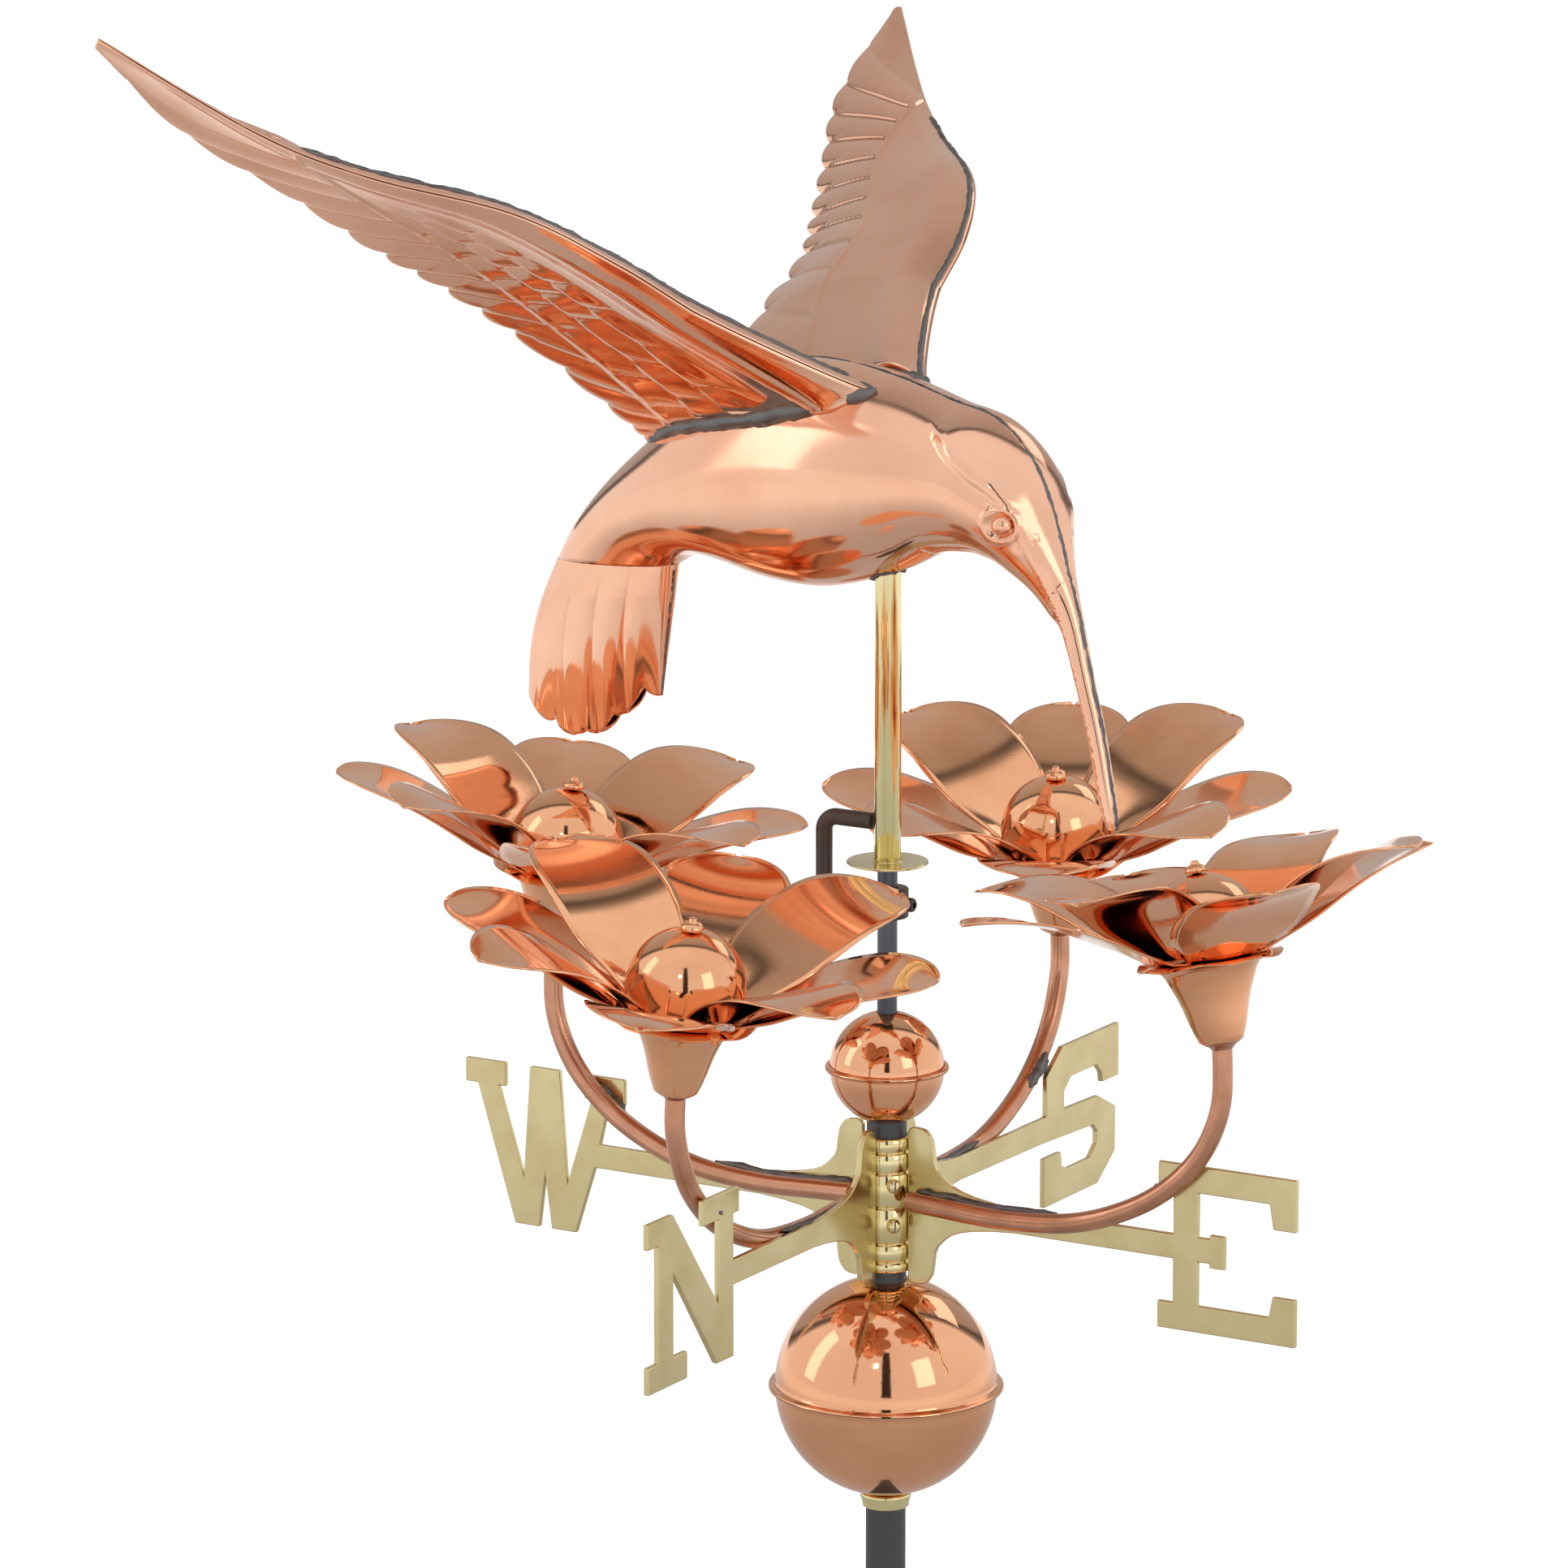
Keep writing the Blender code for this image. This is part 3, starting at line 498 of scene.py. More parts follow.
# Solder: a round bead or a ragged fillet of tin alloy wherever two pieces of sheet meet. It is left as
# it froze, so it is dull and grey and a little lumpy.
def bar_faces(count, sides):
    """Faces that join count rings of points into a bar with closed ends."""
    faces = [list(range(sides)), list(range((count - 1) * sides, count * sides))]
    for i in range(count - 1):
        for k in range(sides):
            near, far = i * sides, (i + 1) * sides
            faces.append([near + k, near + (k + 1) % sides, far + (k + 1) % sides, far + k])
    return faces


def bead(name, path, radius, material, body, slot, place=None, lumps=0.18, sides=12, seed=0):
    """A lumpy round bead along a path, tapered at its two ends."""
    rng = np.random.default_rng(seed)
    path = [Vector(p) for p in path]
    noise = rng.uniform(-1, 1, (len(path), sides))
    noise = (noise + np.roll(noise, 1, 0) + np.roll(noise, -1, 0) + np.roll(noise, 1, 1)) / 2
    points, count = [], len(path)
    side = Vector((0, 0, 1))
    for i, here in enumerate(path):
        ahead = (path[min(i + 1, count - 1)] - path[max(i - 1, 0)]).normalized()
        side = (side - ahead * side.dot(ahead)).normalized()
        across = ahead.cross(side)
        end = min(1.0, 0.25 + min(i, count - 1 - i) / 2.5)
        for k in range(sides):
            angle = 2 * math.pi * k / sides
            reach = float(radius * end * (1 + lumps * noise[i, k]))
            points.append(here + across * (reach * math.cos(angle)) + side * (reach * math.sin(angle)))
    return finished(name, points, bar_faces(count, sides), material, body, slot, (), place)


def seam_line(column, lift):
    """The body's back (column 0) or belly (column 1) in its middle plane, lifted a little."""
    outline = [station[column] for station in BODY]
    return [(x, 0, z + lift) for x, z in (along(outline, k / 240) for k in range(241))]


bead("back_seam", seam_line(0, -0.35), 1.4, solder_and_slot_shade, "vane", "copper_bird", HEADING, 0.25)
bead("belly_seam", seam_line(1, 0.35), 0.8, solder_and_slot_shade, "vane", "copper_bird", HEADING, 0.2)


# The tail: two fluted copper half shells under the rump, their lower edges cut in scallops and pinched
# together, soldered to each other down the front and back and to the body round their root.
TAIL_ROOT = np.array(((-211, 584.4), (-137, 590.4)))
TAIL_TIP = np.array(((-234, 512), (-146, 528)))


def tail_point(u, v):
    """A point of the right half: u from its back edge to its front edge, v from its root to its tip."""
    base = TAIL_ROOT[0] + (TAIL_ROOT[1] - TAIL_ROOT[0]) * u
    tip = TAIL_TIP[0] + (TAIL_TIP[1] - TAIL_TIP[0]) * u
    x, z = base + (tip - base) * v + np.array((-6, 0)) * math.sin(math.pi * v) * (1 - u)
    z -= 18 * v**3 * math.sin(math.pi * min(1.0, u * 1.15)) - 0.9 * (1 - v)
    z -= 5.0 * v**6 * abs(math.sin(math.pi * u * 4.5)) ** 0.7 - 2.5 * v**6
    ridge = 1.5 * abs(math.cos(math.pi * (u * 4.5 + 0.1))) ** 0.6 * min(1.0, v * 4) * (1 - 0.35 * v)
    swell = (12.5 - 5 * v) * math.sin(math.pi * u) ** 0.4 * (1 - 0.75 * v**4)
    ruffle = 0.7 * math.sin(11 * math.pi * u + 5 * v) * v**5
    return x, -(0.2 + max(0.0, swell + (ridge - 1.0 + ruffle) * math.sin(math.pi * u) ** 0.5)), z


tail_columns, tail_rows = 110, 70
tail_grid = [(j / tail_columns, i / tail_rows) for i in range(tail_rows + 1) for j in range(tail_columns + 1)]
half_tail = [tail_point(u, v) for u, v in tail_grid]
tail_quads = grid_faces(tail_rows + 1, tail_columns + 1)
for hand, mirror in (("right", 1), ("left", -1)):
    skin = [(x, y * mirror, z) for x, y, z in half_tail]
    piece = finished(
        f"tail_{hand}_finish", skin, tail_quads, sheet_copper, "vane", "copper_bird",
        (f"tail_{hand}",), HEADING,
    )
    add_thickness(piece, 0.8)
for name, u, radius in (("front", 1, 0.9), ("back", 0, 0.7)):
    edge = [(x, 0, z) for x, y, z in (tail_point(u, k / 40) for k in range(41))]
    bead(f"tail_{name}_seam", edge, radius, solder_and_slot_shade, "vane", "copper_bird", HEADING, 0.2)
tail_joint = [tail_point(k / 40, 0.0) for k in range(41)]
for hand, mirror in (("right", 1), ("left", -1)):
    ring = [(x, (y + 0.2) * mirror, z + 0.3) for x, y, z in tail_joint]
    bead(f"tail_joint_{hand}", ring, 0.6, sheet_copper, "vane", "copper_bird", HEADING, 0.1)


# The wings: a top and a bottom skin each, stamped with a smooth leading band, a row of short feathers, a
# raised vein and a row of long feathers whose ends make the scalloped trailing edge.
LEADING_EDGE = (
    (-4, -22, 691), (-35, -80, 727), (-50, -128, 758), (-75, -171, 784), (-121, -217, 801),
    (-158, -251, 821), (-208, -301, 864),
)
TRAILING_EDGE = (
    (-132, -17, 654), (-142, -85, 703), (-151, -139, 738), (-166, -171, 759), (-185, -206, 786),
    (-208, -250, 818), (-212, -299, 860),
)
TIP_START = 0.93
WING_SPANS, WING_CHORDS = 300, 90


def vein_at(t, under):
    """Where across the wing the vein lies: out from the root, and in to the leading edge at the notch."""
    start, slope, notch = (0.85, 0.36, 0.78) if under else (0.57, 0.0, 0.83)
    bend = max(0.0, (t - 0.5) / (notch - 0.5))
    return (start - slope * min(t, 0.5)) * max(0.0, 1 - bend**2)


def feather_phase(t, left):
    """Counts feathers from the tip. The right wing's grow narrower toward the root; the left's are even."""
    if left:
        return (TIP_START - min(t, TIP_START)) / 0.0725
    return 16 * (1 - (max(0.0, min(t, TIP_START)) / TIP_START) ** (1 / 1.75))


def wing_relief(t, u, left, under):
    """How far a stamped skin stands out from its plain shape."""
    vein = vein_at(t, under)
    fade = min(1.0, t / 0.03) * min(1.0, max(0.0, (0.97 - t) / 0.08))
    relief = 5.4 * (1 - t) * math.exp(-(((u - 0.14) / 0.1) ** 2))
    if u > vein:
        phase = feather_phase(t + (0.33 if under else 0.1) * (1 - u), left) % 1.0
        rise = min(1.0, (u - vein) / 0.04)
        shape = 0.7 * math.sin(math.pi * phase) ** 0.5 + 0.45 * phase**1.6
        relief += (1.0 + 1.5 * t) * rise * (shape - 0.3)
    elif under and t < 0.6:
        start = 0.36
        row_place = max(0.0, (u - start) / (vein - start)) * 3
        row, across = int(row_place), row_place % 1.0
        phase = (feather_phase(t + 0.1 * (1 - u), left) * 0.9 + 0.5 * row) % 1.0
        oval = math.sin(math.pi * phase) ** 0.6 * (0.25 + 0.75 * across) * min(1.0, (1 - across) / 0.12)
        relief += 2.0 * oval * min(1.0, row_place * 2) * min(1.0, (0.6 - t) / 0.12)
    relief += 1.4 * (1 - 0.5 * t) * math.exp(-(((u - vein) / 0.016) ** 2)) * (1 if vein > 0 else 0)
    return relief * fade


def wing_root(u):
    """The line on the body's side that the wing's root follows, from its front to its rear."""
    front, rear = 7 / 18, 3 / 18
    angle = math.radians(62 - 24 * math.sin(math.pi * u))
    point = np.array(body_point(front + (rear - front) * u, angle, False))
    return point + np.array((0.0, -math.cos(angle), math.sin(angle))) * 1.8


SHOULDER = Vector((-30.0, 10.0, 685.0))
left_turn = Matrix.Rotation(math.radians(9.1), 3, "Z") @ Matrix.Rotation(math.radians(0.5), 3, "Y")
left_turn = left_turn @ Matrix.Rotation(math.radians(-8.4), 3, "X")


def wing_edges(left):
    """Both edges, drawn on the right side; the left wing's are turned a little about its shoulder."""
    if not left:
        return LEADING_EDGE, TRAILING_EDGE
    edges = []
    for edge in (LEADING_EDGE, TRAILING_EDGE):
        moved = [edge[0]]
        for x, y, z in edge[1:]:
            point = left_turn @ (Vector((x, -y, z)) - SHOULDER) + SHOULDER
            moved.append((point.x, -point.y, point.z))
        edges.append(moved)
    return edges


def wing_skin(left, sign):
    """A skin as a grid of points; sign is 1 for the top and -1 for the bottom."""
    leading, trailing = wing_edges(left)
    points = []
    for i in range(WING_SPANS + 1):
        t = i / WING_SPANS
        front, rear = along(leading, t), along(trailing, t)
        ahead = along(leading, t + 0.02) + along(trailing, t + 0.02)
        behind = along(leading, t - 0.02) + along(trailing, t - 0.02)
        up = np.cross(rear - front, ahead - behind)
        up /= np.linalg.norm(up)
        chord = np.linalg.norm(rear - front)
        rooted = max(0.0, 1 - t / 0.2)
        tip_phase = feather_phase(t, left) % 1.0
        scallop = 0.07 * (math.sin(math.pi * tip_phase) ** 0.6 - 0.75) * min(1.0, t / 0.05) * (t < TIP_START)
        for j in range(WING_CHORDS + 1):
            u = j / WING_CHORDS
            stretched = u + scallop * max(0.0, (u - 0.8) / 0.2)
            middle = front + (rear - front) * stretched + up * 0.07 * chord * math.sin(math.pi * u)
            middle = middle * (1 - rooted) + wing_root(u) * rooted
            closing = min(1.0, u / 0.04) * min(1.0, (1 - u) / 0.02)
            swell = (7 - 6 * t) * math.sin(math.pi * u**0.7) + wing_relief(t, u, left, sign < 0) * closing
            points.append(middle + sign * up * (0.15 + max(0.0, swell)))
    return points


wing_quads = grid_faces(WING_SPANS + 1, WING_CHORDS + 1)
for side, left in (("right", False), ("left", True)):
    mirror = -1 if left else 1
    for name, sign in (("top", 1), ("bottom", -1)):
        skin = [(p[0], p[1] * mirror, p[2]) for p in wing_skin(left, sign)]
        piece = finished(
            f"wing_{side}_{name}_finish", skin, wing_quads, sheet_copper, "vane", "copper_bird",
            (f"wing_{side}_{name}",), HEADING,
        )
        add_thickness(piece, 0.5)
        root = [Vector(p) + Vector((0, 1.0 * mirror, -0.6 * sign)) for p in skin[: WING_CHORDS + 1 : 2]]
        bead(
            f"wing_root_{side}_{name}", root, 2.3 if sign > 0 else 3.7, solder_and_slot_shade, "vane", "copper_bird",
            HEADING, 0.22, seed=5 + sign,
        )
        if name == "top":
            column = 2 if left else 9
            edge = [Vector(skin[i * (WING_CHORDS + 1) + column]) for i in range(4, 232, 2)]
            bead(f"wing_seam_{side}", edge, 1.5, solder_and_slot_shade, "vane", "copper_bird", HEADING, 0.3, seed=3)


# The rose: each arm is sawn from 3 mm brass plate with its letter, filed round at the edges and dulled by
# hand. Its broad end is soldered to the hub.
letter_brass = worn_metal("letter_brass", (0.68, 0.58, 0.32), (0.60, 0.49, 0.25), 0.17, 0.3, 35.0, 0.00001)
hub_brass = worn_metal("hub_brass", (0.84, 0.73, 0.42), (0.70, 0.57, 0.28), 0.06, 0.14, 60.0)
ARM_HEIGHT = 301.5
PLATE_HALF = 1.5
# Outlines in the plate: how far out from the mast's axis, and how high above the arm's middle.
FLANGE = (
    (12.3, 36), (13.2, 37.6), (14.6, 38.2), (17, 38.4), (20, 38), (22.4, 37), (24, 35.2), (25.3, 33),
    (26, 30), (26.5, 26), (27, 22), (28.2, 19), (30, 17), (32.7, 14.3), (36, 12), (41, 10), (47, 8.5),
    (58, 6.9), (70, 6),
)
LETTERS = {
    "e": [
        (154, 6), (154, 27), (146, 27), (146, 40), (218, 40), (218, 15), (206, 15), (204, 27), (167, 27),
        (167, 6), (173, 6), (173, 8), (181, 8), (181, -8), (173, -8), (173, -6), (167, -6), (167, -27),
        (204, -27), (206, -17), (218, -17), (218, -40), (146, -40), (146, -27), (154, -27), (154, -6),
    ],
    "n": [
        (143, 6), (143, 28), (138, 28), (138, 40), (170, 40), (170, 28), (156, 28), (156, -12), (196, 40),
        (218, 40), (218, 28), (209, 28), (209, -27), (218, -27), (218, -40), (184, -40), (184, -27),
        (196, -27), (196, 12), (158, -40), (143, -40), (143, -6),
    ],
    "w": [
        (159, 6), (154, 27), (145, 27), (145, 40), (168, 40), (168, 28), (164, 28), (178, -16), (182, 40),
        (199, 40), (203, -16), (217, 28), (213, 28), (213, 40), (236, 40), (236, 28), (229, 28), (208, -40),
        (194, -40), (190.5, -14), (187, -40), (173, -40), (162, -6),
    ],
    "s": [
        (155, 6), (155, 26), (171, 38), (229, 38), (229, 11), (212, 11), (211, 16), (206, 21), (180, 21),
        (173, 15), (173, 6), (208, 5), (226, -4), (226, -27), (208, -40), (153, -40), (153, -15),
        (170, -15), (171, -22), (176, -25), (200, -25), (207, -19), (207, -13), (203, -9), (155, -7),
    ],
}


def bevelled(piece, width, angle=40):
    edge = piece.modifiers.new("edge", "BEVEL")
    edge.width = width * MM
    edge.segments = 3
    edge.limit_method = "ANGLE"
    edge.angle_limit = math.radians(angle)
    edge.harden_normals = True


for letter, outline in LETTERS.items():
    lower = [(radius, -height) for radius, height in reversed(FLANGE)]
    edge = list(FLANGE) + outline + lower
    count = len(edge)
    points = [(x, side * PLATE_HALF, z + ARM_HEIGHT) for side in (-1, 1) for x, z in edge]
    faces = [list(range(count)), list(range(count, 2 * count))]
    faces += [[k, (k + 1) % count, count + (k + 1) % count, count + k] for k in range(count)]
    arm = Matrix.Rotation(math.radians(POINTS[letter][0]), 4, "Z")
    piece = finished(
        f"plate_{letter}_finish", points, faces, letter_brass, "compass", "brass_letters",
        (f"plate_{letter}",), arm, smooth=False,
    )
    bevelled(piece, 0.7)


# The hub: a barrel turned from brass bar, with rounded grooves between its bands and a domed slotted
# screw in each quarter, above and below the arms' centre line. Each slot is a raised bar of dark grey
# laid across the dome: painted shade that stands in for the recess.
hub_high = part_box("hub_barrel")[1].z / MM
hub_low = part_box("hub_barrel")[0].z / MM
hub_bore = mast_radius + SLIP
hub_profile = [(hub_bore, hub_high), (11.4, hub_high), (12.0, hub_high - 0.6)]
half_groove = ((12.0, 1.0), (11.75, 0.7), (11.25, 0.35))
groove = half_groove + ((11.1, 0.0),) + tuple((reach, -drop) for reach, drop in reversed(half_groove))
for height in (25.8, 15.9, -0.8, -18.7, -27.8):
    hub_profile += [(reach, ARM_HEIGHT + height + drop) for reach, drop in groove]
hub_profile += [(12.0, hub_low + 0.6), (11.4, hub_low), (hub_bore, hub_low)]
finished(
    "hub_barrel_finish", *turned(hub_profile, 128), hub_brass, "compass", "brass_fittings",
    ("hub_barrel",), sharp=50,
)
screw_profile = [(0, 10.2), (2, 10.2), (2, 12.3), (3.2, 12.3), (3.5, 12.6), (3.5, 13.6), (3.25, 14.4)]
screw_profile += [(2.6, 15.1), (1.6, 15.55), (0, 15.7)]
# The slot is not cut: a dark grey bar is laid over the dome, painted shade standing in for the recess.
slot_shade_outline = ((-2.9, -0.35), (2.9, -0.35), (2.9, 0.35), (-2.9, 0.35))
slot_shade_points = [(x, y, z) for z in (14.2, 15.75) for x, y in slot_shade_outline]
slot_shade_faces = [[0, 1, 2, 3], [4, 5, 6, 7], [0, 1, 5, 4], [1, 2, 6, 5], [2, 3, 7, 6], [3, 0, 4, 7]]
for quadrant, turn in (("se", 45), ("sw", 135), ("nw", 225), ("ne", 315)):
    for level, height in (("upper", 10.5), ("lower", -9.0)):
        seat = Matrix.Translation((0, 0, ARM_HEIGHT + height)) @ Matrix.Rotation(math.radians(turn), 4, "Z")
        tightened = Matrix.Rotation(math.radians(turn * 1.7), 4, "Z")
        screw_place = seat @ Matrix.Rotation(math.radians(90), 4, "Y") @ tightened
        name = f"hub_screw_{quadrant}_{level}"
        finished(
            name + "_finish", *turned(screw_profile, 48, False), hub_brass, "compass", "brass_fittings",
            (name,), screw_place, sharp=50,
        )
        finished(
            f"{name}_slot", slot_shade_points, slot_shade_faces, solder_and_slot_shade, "compass", "brass_fittings",
            (), screw_place, smooth=False,
        )


# The stems: 3/8 inch copper tube bent by hand along each arm and up into its flower, soldered to the
# plate where it lies against it.
def swept(path, radius, sides=24, soften=0.6):
    """A round bar along a path, its two ends softened."""
    path = [Vector(p) for p in path]
    count = len(path)
    side = Vector((0, 1, 0))
    points = []
    for i, here in enumerate(path):
        ahead = (path[min(i + 1, count - 1)] - path[max(i - 1, 0)]).normalized()
        side = (side - ahead * side.dot(ahead)).normalized()
        across = ahead.cross(side)
        reach = radius - (soften if i in (0, count - 1) else 0.0)
        for k in range(sides):
            angle = 2 * math.pi * k / sides
            points.append(here + across * (reach * math.cos(angle)) + side * (reach * math.sin(angle)))
    return points, bar_faces(count, sides)


STEM_ROUTE = ((15.5, 305), (35, 304), (65, 303), (100, 306), (128, 315), (152, 329), (171, 349), (181, 374))
STEM_RADIUS = 4.75
collar = [(4.6, -3.6), (5.3, -2.9), (6.6, -1.6), (8.6, -0.6), (9.2, 0.1), (4.6, 0.4)]
for letter, (bearing, side, foot_height, lean, side_lean, _) in POINTS.items():
    arm = Matrix.Rotation(math.radians(bearing), 4, "Z")
    offset = side * STEM_OFFSET
    tilt = leaning(lean, side_lean)
    end = Vector((STEM_REACH, offset, foot_height)) - tilt @ Vector((0, 0, 1.4))
    route = STEM_ROUTE + ((end.x, end.z),)
    shares = [0.0, 0.004] + [k / 72 for k in range(1, 72)] + [0.996, 1.0]
    path = [(p[0], offset, p[1]) for p in (along(route, t) for t in shares)]
    finished(
        f"stem_{letter}_finish", *swept(path, STEM_RADIUS), stem_copper, "compass", "copper_stems",
        (f"stem_{letter}",), arm, sharp=60,
    )
    seam = []
    for k in range(26):
        x, z = along(route, 0.02 + 0.33 * k / 25)
        seam.append((x, side * 2.4, z + 4.0))
    bead(
        f"stem_solder_{letter}", seam, 1.7, solder_and_slot_shade, "compass", "brass_letters", arm, 0.4,
        seed=bearing % 7,
    )
    cross = []
    for k in range(12):
        x, z = along(route, 0.58 + 0.1 * k / 11)
        cross.append((x - 0.5, side * 2.2, z + 1.5))
    bead(
        f"letter_solder_{letter}", cross, 2.6, solder_and_slot_shade, "compass", "brass_letters", arm, 0.45,
        seed=bearing % 5,
    )
    axis = arm @ Matrix.Translation((STEM_REACH, offset, foot_height)) @ tilt
    finished(
        f"calyx_solder_{letter}", *turned(collar, 48), stem_copper, "compass", "copper_flowers", (), axis,
        sharp=50,
    )


# The bird's brass tube, with the flange that keeps rain out of the bearing, and the ferrule under the
# lower globe. All three are bright drawn brass.
tube_brass = worn_metal("tube_brass", (0.86, 0.78, 0.44), (0.78, 0.68, 0.36), 0.08, 0.16, 30.0)
tube_low, tube_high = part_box("vane_tube")
tube_foot, tube_top = tube_low.z / MM, tube_high.z / MM
TUBE_BORE, TUBE_RADIUS = 5.15, 6.35
tube_profile = [
    (TUBE_BORE, tube_foot), (6.1, tube_foot), (TUBE_RADIUS, tube_foot + 0.3), (TUBE_RADIUS, tube_top - 0.4),
    (6.0, tube_top), (TUBE_BORE, tube_top),
]
finished(
    "vane_tube_finish", *turned(tube_profile, 96), tube_brass, "vane", "brass_fittings",
    ("vane_tube",), sharp=40,
)
washer = [(6.65, tube_foot), (19.0, tube_foot), (19.3, tube_foot + 0.3), (19.3, tube_foot + 0.9)]
washer += [(19.0, tube_foot + 1.2), (6.65, tube_foot + 1.2)]
finished(
    "tube_flange_finish", *turned(washer, 96), letter_brass, "vane", "brass_fittings",
    ("tube_flange",), sharp=40,
)
fillet = [(6.2, 2.4), (6.9, 1.7), (7.8, 1.3), (8.6, 1.1), (6.2, 1.0)]
finished(
    "flange_solder", *turned([(r, h + tube_foot) for r, h in fillet], 64), letter_brass, "vane",
    "brass_fittings",
)
ferrule_low, ferrule_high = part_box("mast_collar")
foot, top, reach = ferrule_low.z / MM, ferrule_high.z / MM, ferrule_high.x / MM
ferrule = [
    (hub_bore, foot), (reach - 1.6, foot), (reach - 1.2, foot + 0.4), (reach - 0.9, foot + 2.6),
    (reach - 0.5, top - 3.2), (reach - 0.1, top - 2.4), (reach, top - 1.6), (reach, top - 0.8),
    (reach - 0.3, top - 0.4), (hub_bore, top),
]
finished(
    "mast_collar_finish", *turned(ferrule, 96), tube_brass, "mast", "brass_fittings",
    ("mast_collar",), sharp=50,
)
BELLY_HEIGHT, BELLY_SLOPE = 604.0, 0.38
belly_ring = []
for k in range(33):
    angle = 2 * math.pi * k / 32
    x, y = 7.4 * math.cos(angle), 7.4 * math.sin(angle)
    belly_ring.append((x, y, BELLY_HEIGHT + BELLY_SLOPE * x + math.sin(angle) ** 2))
bead("belly_solder", belly_ring, 1.6, solder_and_slot_shade, "vane", "copper_bird", HEADING, 0.3, seed=2)


# The retainer: a blackened iron rod bent over the flange so that the bird can't be lifted off, on a
# collar held by one screw.
iron_black = worn_metal(
    "iron_black", (0.055, 0.045, 0.04), (0.09, 0.05, 0.035), 0.32, 0.5, 70.0, 0.00006, 0.6
)
COLLAR_HEIGHT = 447.0
BEND_RADIUS = 7
BEND_X = -27.5
at = Matrix.Translation((0, 0, COLLAR_HEIGHT))
ring = [(5.05, -7), (9.5, -7), (10, -6.5), (10, 6.5), (9.5, 7), (5.05, 7)]
ring_points, ring_faces = turned(ring, 96)
route = [(-7.5, 0), (BEND_X, 0)]
for height, start in ((7.0, 270), (31.0, 180)):
    for k in range(1, 17):
        angle = math.radians(start - 90 * k / 16)
        route.append((BEND_X + BEND_RADIUS * math.cos(angle), height + BEND_RADIUS * math.sin(angle)))
route += [(-7.95, 38), (-7.55, 38)]
rod_points, rod_faces = swept([(x, 0, z) for x, z in route], 4.0)
arm_faces = ring_faces + [[k + len(ring_points) for k in face] for face in rod_faces]
finished(
    "retainer_arm_finish", ring_points + rod_points, arm_faces, iron_black, "retainer", "iron_retainer",
    ("retainer_arm",), at, sharp=50,
)
lock = [(0, 5.25), (1.8, 5.25), (1.8, 10.3), (3.1, 10.3), (3.4, 10.6), (3.4, 13.4), (3.1, 14.1), (2.4, 14.6)]
lock += [(1.6, 14.6), (1.5, 13.0), (0, 13.0)]
finished(
    "retainer_screw_finish", *turned(lock, 48, False), iron_black, "retainer", "iron_retainer",
    ("retainer_screw",), at @ Matrix.Rotation(math.radians(90), 4, "Y"), sharp=50,
)


# The studio: a floor that glows, white to the camera and, in reflections, a painted shade that is dimmest
# right under the bird and brightens outward; white screens in front and overhead, and the dim end of the room
# behind.
# The metal is a mirror, so this room is what it shows: the floor reads dimmer in it than to the eye, and the
# gap that is left between two screens shows as a narrow dark strip.
floor_mesh = bpy.data.meshes.new("floor")
floor_mesh.from_pydata([(-16, -16, 0), (16, -16, 0), (16, 16, 0), (-16, 16, 0)], [], [(0, 1, 2, 3)])
floor = bpy.data.objects.new("floor", floor_mesh)
floor.location.z = -0.002
bpy.context.scene.collection.objects.link(floor)
glowing_floor = bpy.data.materials.new("glowing_floor")
glowing_floor.use_nodes = True
tree = glowing_floor.node_tree
floor_shader = tree.nodes["Principled BSDF"]
floor_shader.inputs["Base Color"].default_value = (0.3, 0.295, 0.29, 1)
floor_shader.inputs["Roughness"].default_value = 0.9
floor_shader.inputs["Specular IOR Level"].default_value = 0.1
# The floor glows: white to the camera, and to the metal the painted shade set up below.
floor_shader.inputs["Emission Strength"].default_value = 1.0
floor_eye = tree.nodes.new("ShaderNodeLightPath")
floor_glow = tree.nodes.new("ShaderNodeMix")
floor_glow.data_type = "RGBA"
floor_glow.inputs["B"].default_value = (1, 1, 1, 1)
floor_place = tree.nodes.new("ShaderNodeTexCoord")
floor_reach = tree.nodes.new("ShaderNodeVectorMath")
floor_reach.operation = "LENGTH"
# Painted shade: the floor's glow in reflections is dimmest right under the bird (0.26) and brightest from 1.9
# m out (0.8).
floor_painted_shade = tree.nodes.new("ShaderNodeMapRange")
floor_painted_shade.interpolation_type = "SMOOTHSTEP"
floor_painted_shade.inputs["From Min"].default_value = 0.2
floor_painted_shade.inputs["From Max"].default_value = 1.9
floor_painted_shade.inputs["To Min"].default_value = 0.26
floor_painted_shade.inputs["To Max"].default_value = 0.8
joined(
    tree,
    (floor_place.outputs["Object"], floor_reach.inputs[0]),
    (floor_reach.outputs["Value"], floor_painted_shade.inputs["Value"]),
    (floor_painted_shade.outputs["Result"], floor_glow.inputs["A"]),
    (floor_eye.outputs["Is Camera Ray"], floor_glow.inputs["Factor"]),
    (floor_glow.outputs["Result"], floor_shader.inputs["Emission Color"]),
)
floor_mesh.materials.append(glowing_floor)
bpy.context.scene.view_settings.view_transform = "Standard"
world = bpy.data.worlds.new("surround")
world.use_nodes = True
tree = world.node_tree
where = tree.nodes.new("ShaderNodeTexCoord")
parts = tree.nodes.new("ShaderNodeSeparateXYZ")
walls = tree.nodes.new("ShaderNodeValToRGB")
bands = walls.color_ramp.elements
bands[0].position = 0.0
bands[0].color = (0.95, 0.95, 0.95, 1)
bands[1].position = 1.0
bands[1].color = (0.58, 0.56, 0.54, 1)
for position, grey in ((0.3, 1.0), (0.62, 1.0), (0.66, 0.3), (0.7, 0.1), (0.74, 0.44)):
    band = bands.new(position)
    band.color = (grey, grey, grey, 1)
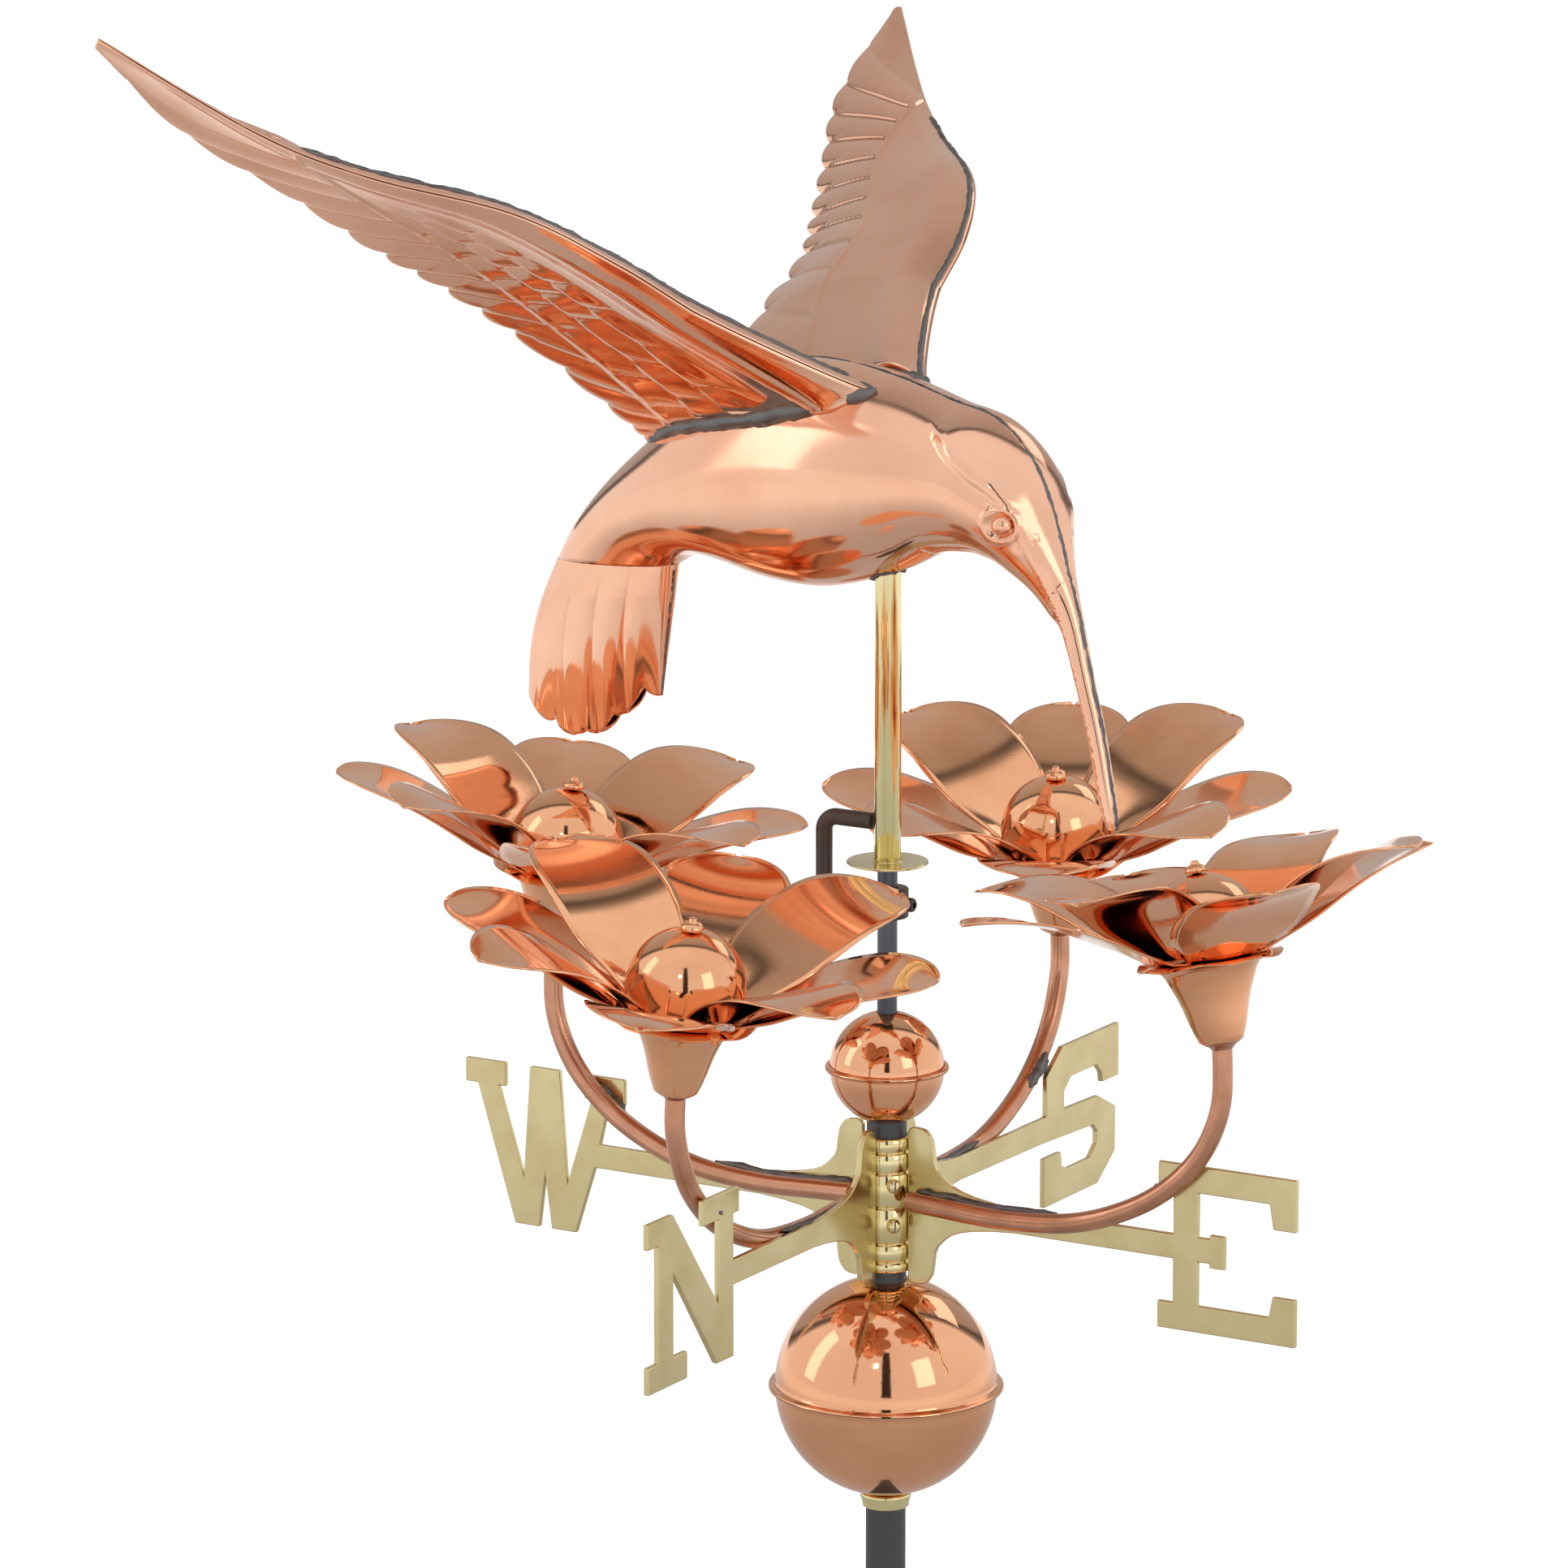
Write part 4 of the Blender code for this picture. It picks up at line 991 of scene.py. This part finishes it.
toward_back = tree.nodes.new("ShaderNodeVectorMath")
toward_back.operation = "DOT_PRODUCT"
toward_back.inputs[1].default_value = (-0.408, 0.71, 0.574)
azimuth = tree.nodes.new("ShaderNodeMath")
azimuth.operation = "ARCTAN2"
in_gap = tree.nodes.new("ShaderNodeMath")
in_gap.operation = "COMPARE"
in_gap.inputs[1].default_value = math.radians(-60.0)
in_gap.inputs[2].default_value = math.radians(5.0)
under_top = tree.nodes.new("ShaderNodeMath")
under_top.operation = "COMPARE"
under_top.inputs[1].default_value = 0.4
under_top.inputs[2].default_value = 0.36
gap = tree.nodes.new("ShaderNodeMath")
gap.operation = "MULTIPLY"
screens = tree.nodes.new("ShaderNodeMix")
screens.data_type = "RGBA"
screens.inputs["B"].default_value = (0.05, 0.04, 0.04, 1)
seen = tree.nodes.new("ShaderNodeMix")
seen.data_type = "RGBA"
seen.inputs["B"].default_value = (1, 1, 1, 1)
path_kind = tree.nodes.new("ShaderNodeLightPath")
joined(
    tree,
    (where.outputs["Generated"], parts.inputs["Vector"]),
    (where.outputs["Generated"], toward_back.inputs[0]),
    (toward_back.outputs["Value"], walls.inputs["Fac"]),
    (parts.outputs["Y"], azimuth.inputs[0]),
    (parts.outputs["X"], azimuth.inputs[1]),
    (azimuth.outputs["Value"], in_gap.inputs[0]),
    (parts.outputs["Z"], under_top.inputs[0]),
    (in_gap.outputs["Value"], gap.inputs[0]),
    (under_top.outputs["Value"], gap.inputs[1]),
    (gap.outputs["Value"], screens.inputs["Factor"]),
    (walls.outputs["Color"], screens.inputs["A"]),
    (screens.outputs["Result"], seen.inputs["A"]),
    (path_kind.outputs["Is Camera Ray"], seen.inputs["Factor"]),
    (seen.outputs["Result"], tree.nodes["Background"].inputs["Color"]),
)
bpy.context.scene.world = world
for name, spot, wide, tall, power in (
    ("key", (-2.6, -1.6, 1.7), 0.9, 2.6, 6.5), ("fill", (3.0, -0.9, 1.6), 1.2, 1.6, 6.0),
    ("back", (0.6, 2.8, 2.4), 1.6, 1.2, 6.0), ("glint", (0.9, -2.9, 2.3), 0.3, 0.3, 1.6),
):
    lamp = bpy.data.lights.new(name, "AREA")
    lamp.shape = "RECTANGLE"
    lamp.size = wide
    lamp.size_y = tall
    lamp.energy = power
    lamp_object = bpy.data.objects.new(name, lamp)
    lamp_object.location = spot
    lamp_object.rotation_euler = (Vector((0, 0, 0.5)) - Vector(spot)).to_track_quat("-Z", "Y").to_euler()
    bpy.context.scene.collection.objects.link(lamp_object)


# The camera stands a little above the bird, far back with a long lens, between the lines of the north
# and east arms.
STANDOFF = 3.7135
EYE_LEVEL = 1.32215
bearing = math.radians(29.86)
aim = bearing + math.radians(0.75)
down = math.radians(12.43)
camera_data = bpy.data.cameras.new("camera")
camera_data.sensor_width = 36.0
camera_data.lens = 186.34
camera = bpy.data.objects.new("camera", camera_data)
camera.location = (STANDOFF * math.sin(bearing), -STANDOFF * math.cos(bearing), EYE_LEVEL)
forward = Vector((-math.sin(aim) * math.cos(down), math.cos(aim) * math.cos(down), -math.sin(down)))
camera.rotation_euler = forward.to_track_quat("-Z", "Y").to_euler()
bpy.context.scene.collection.objects.link(camera)
bpy.context.scene.camera = camera
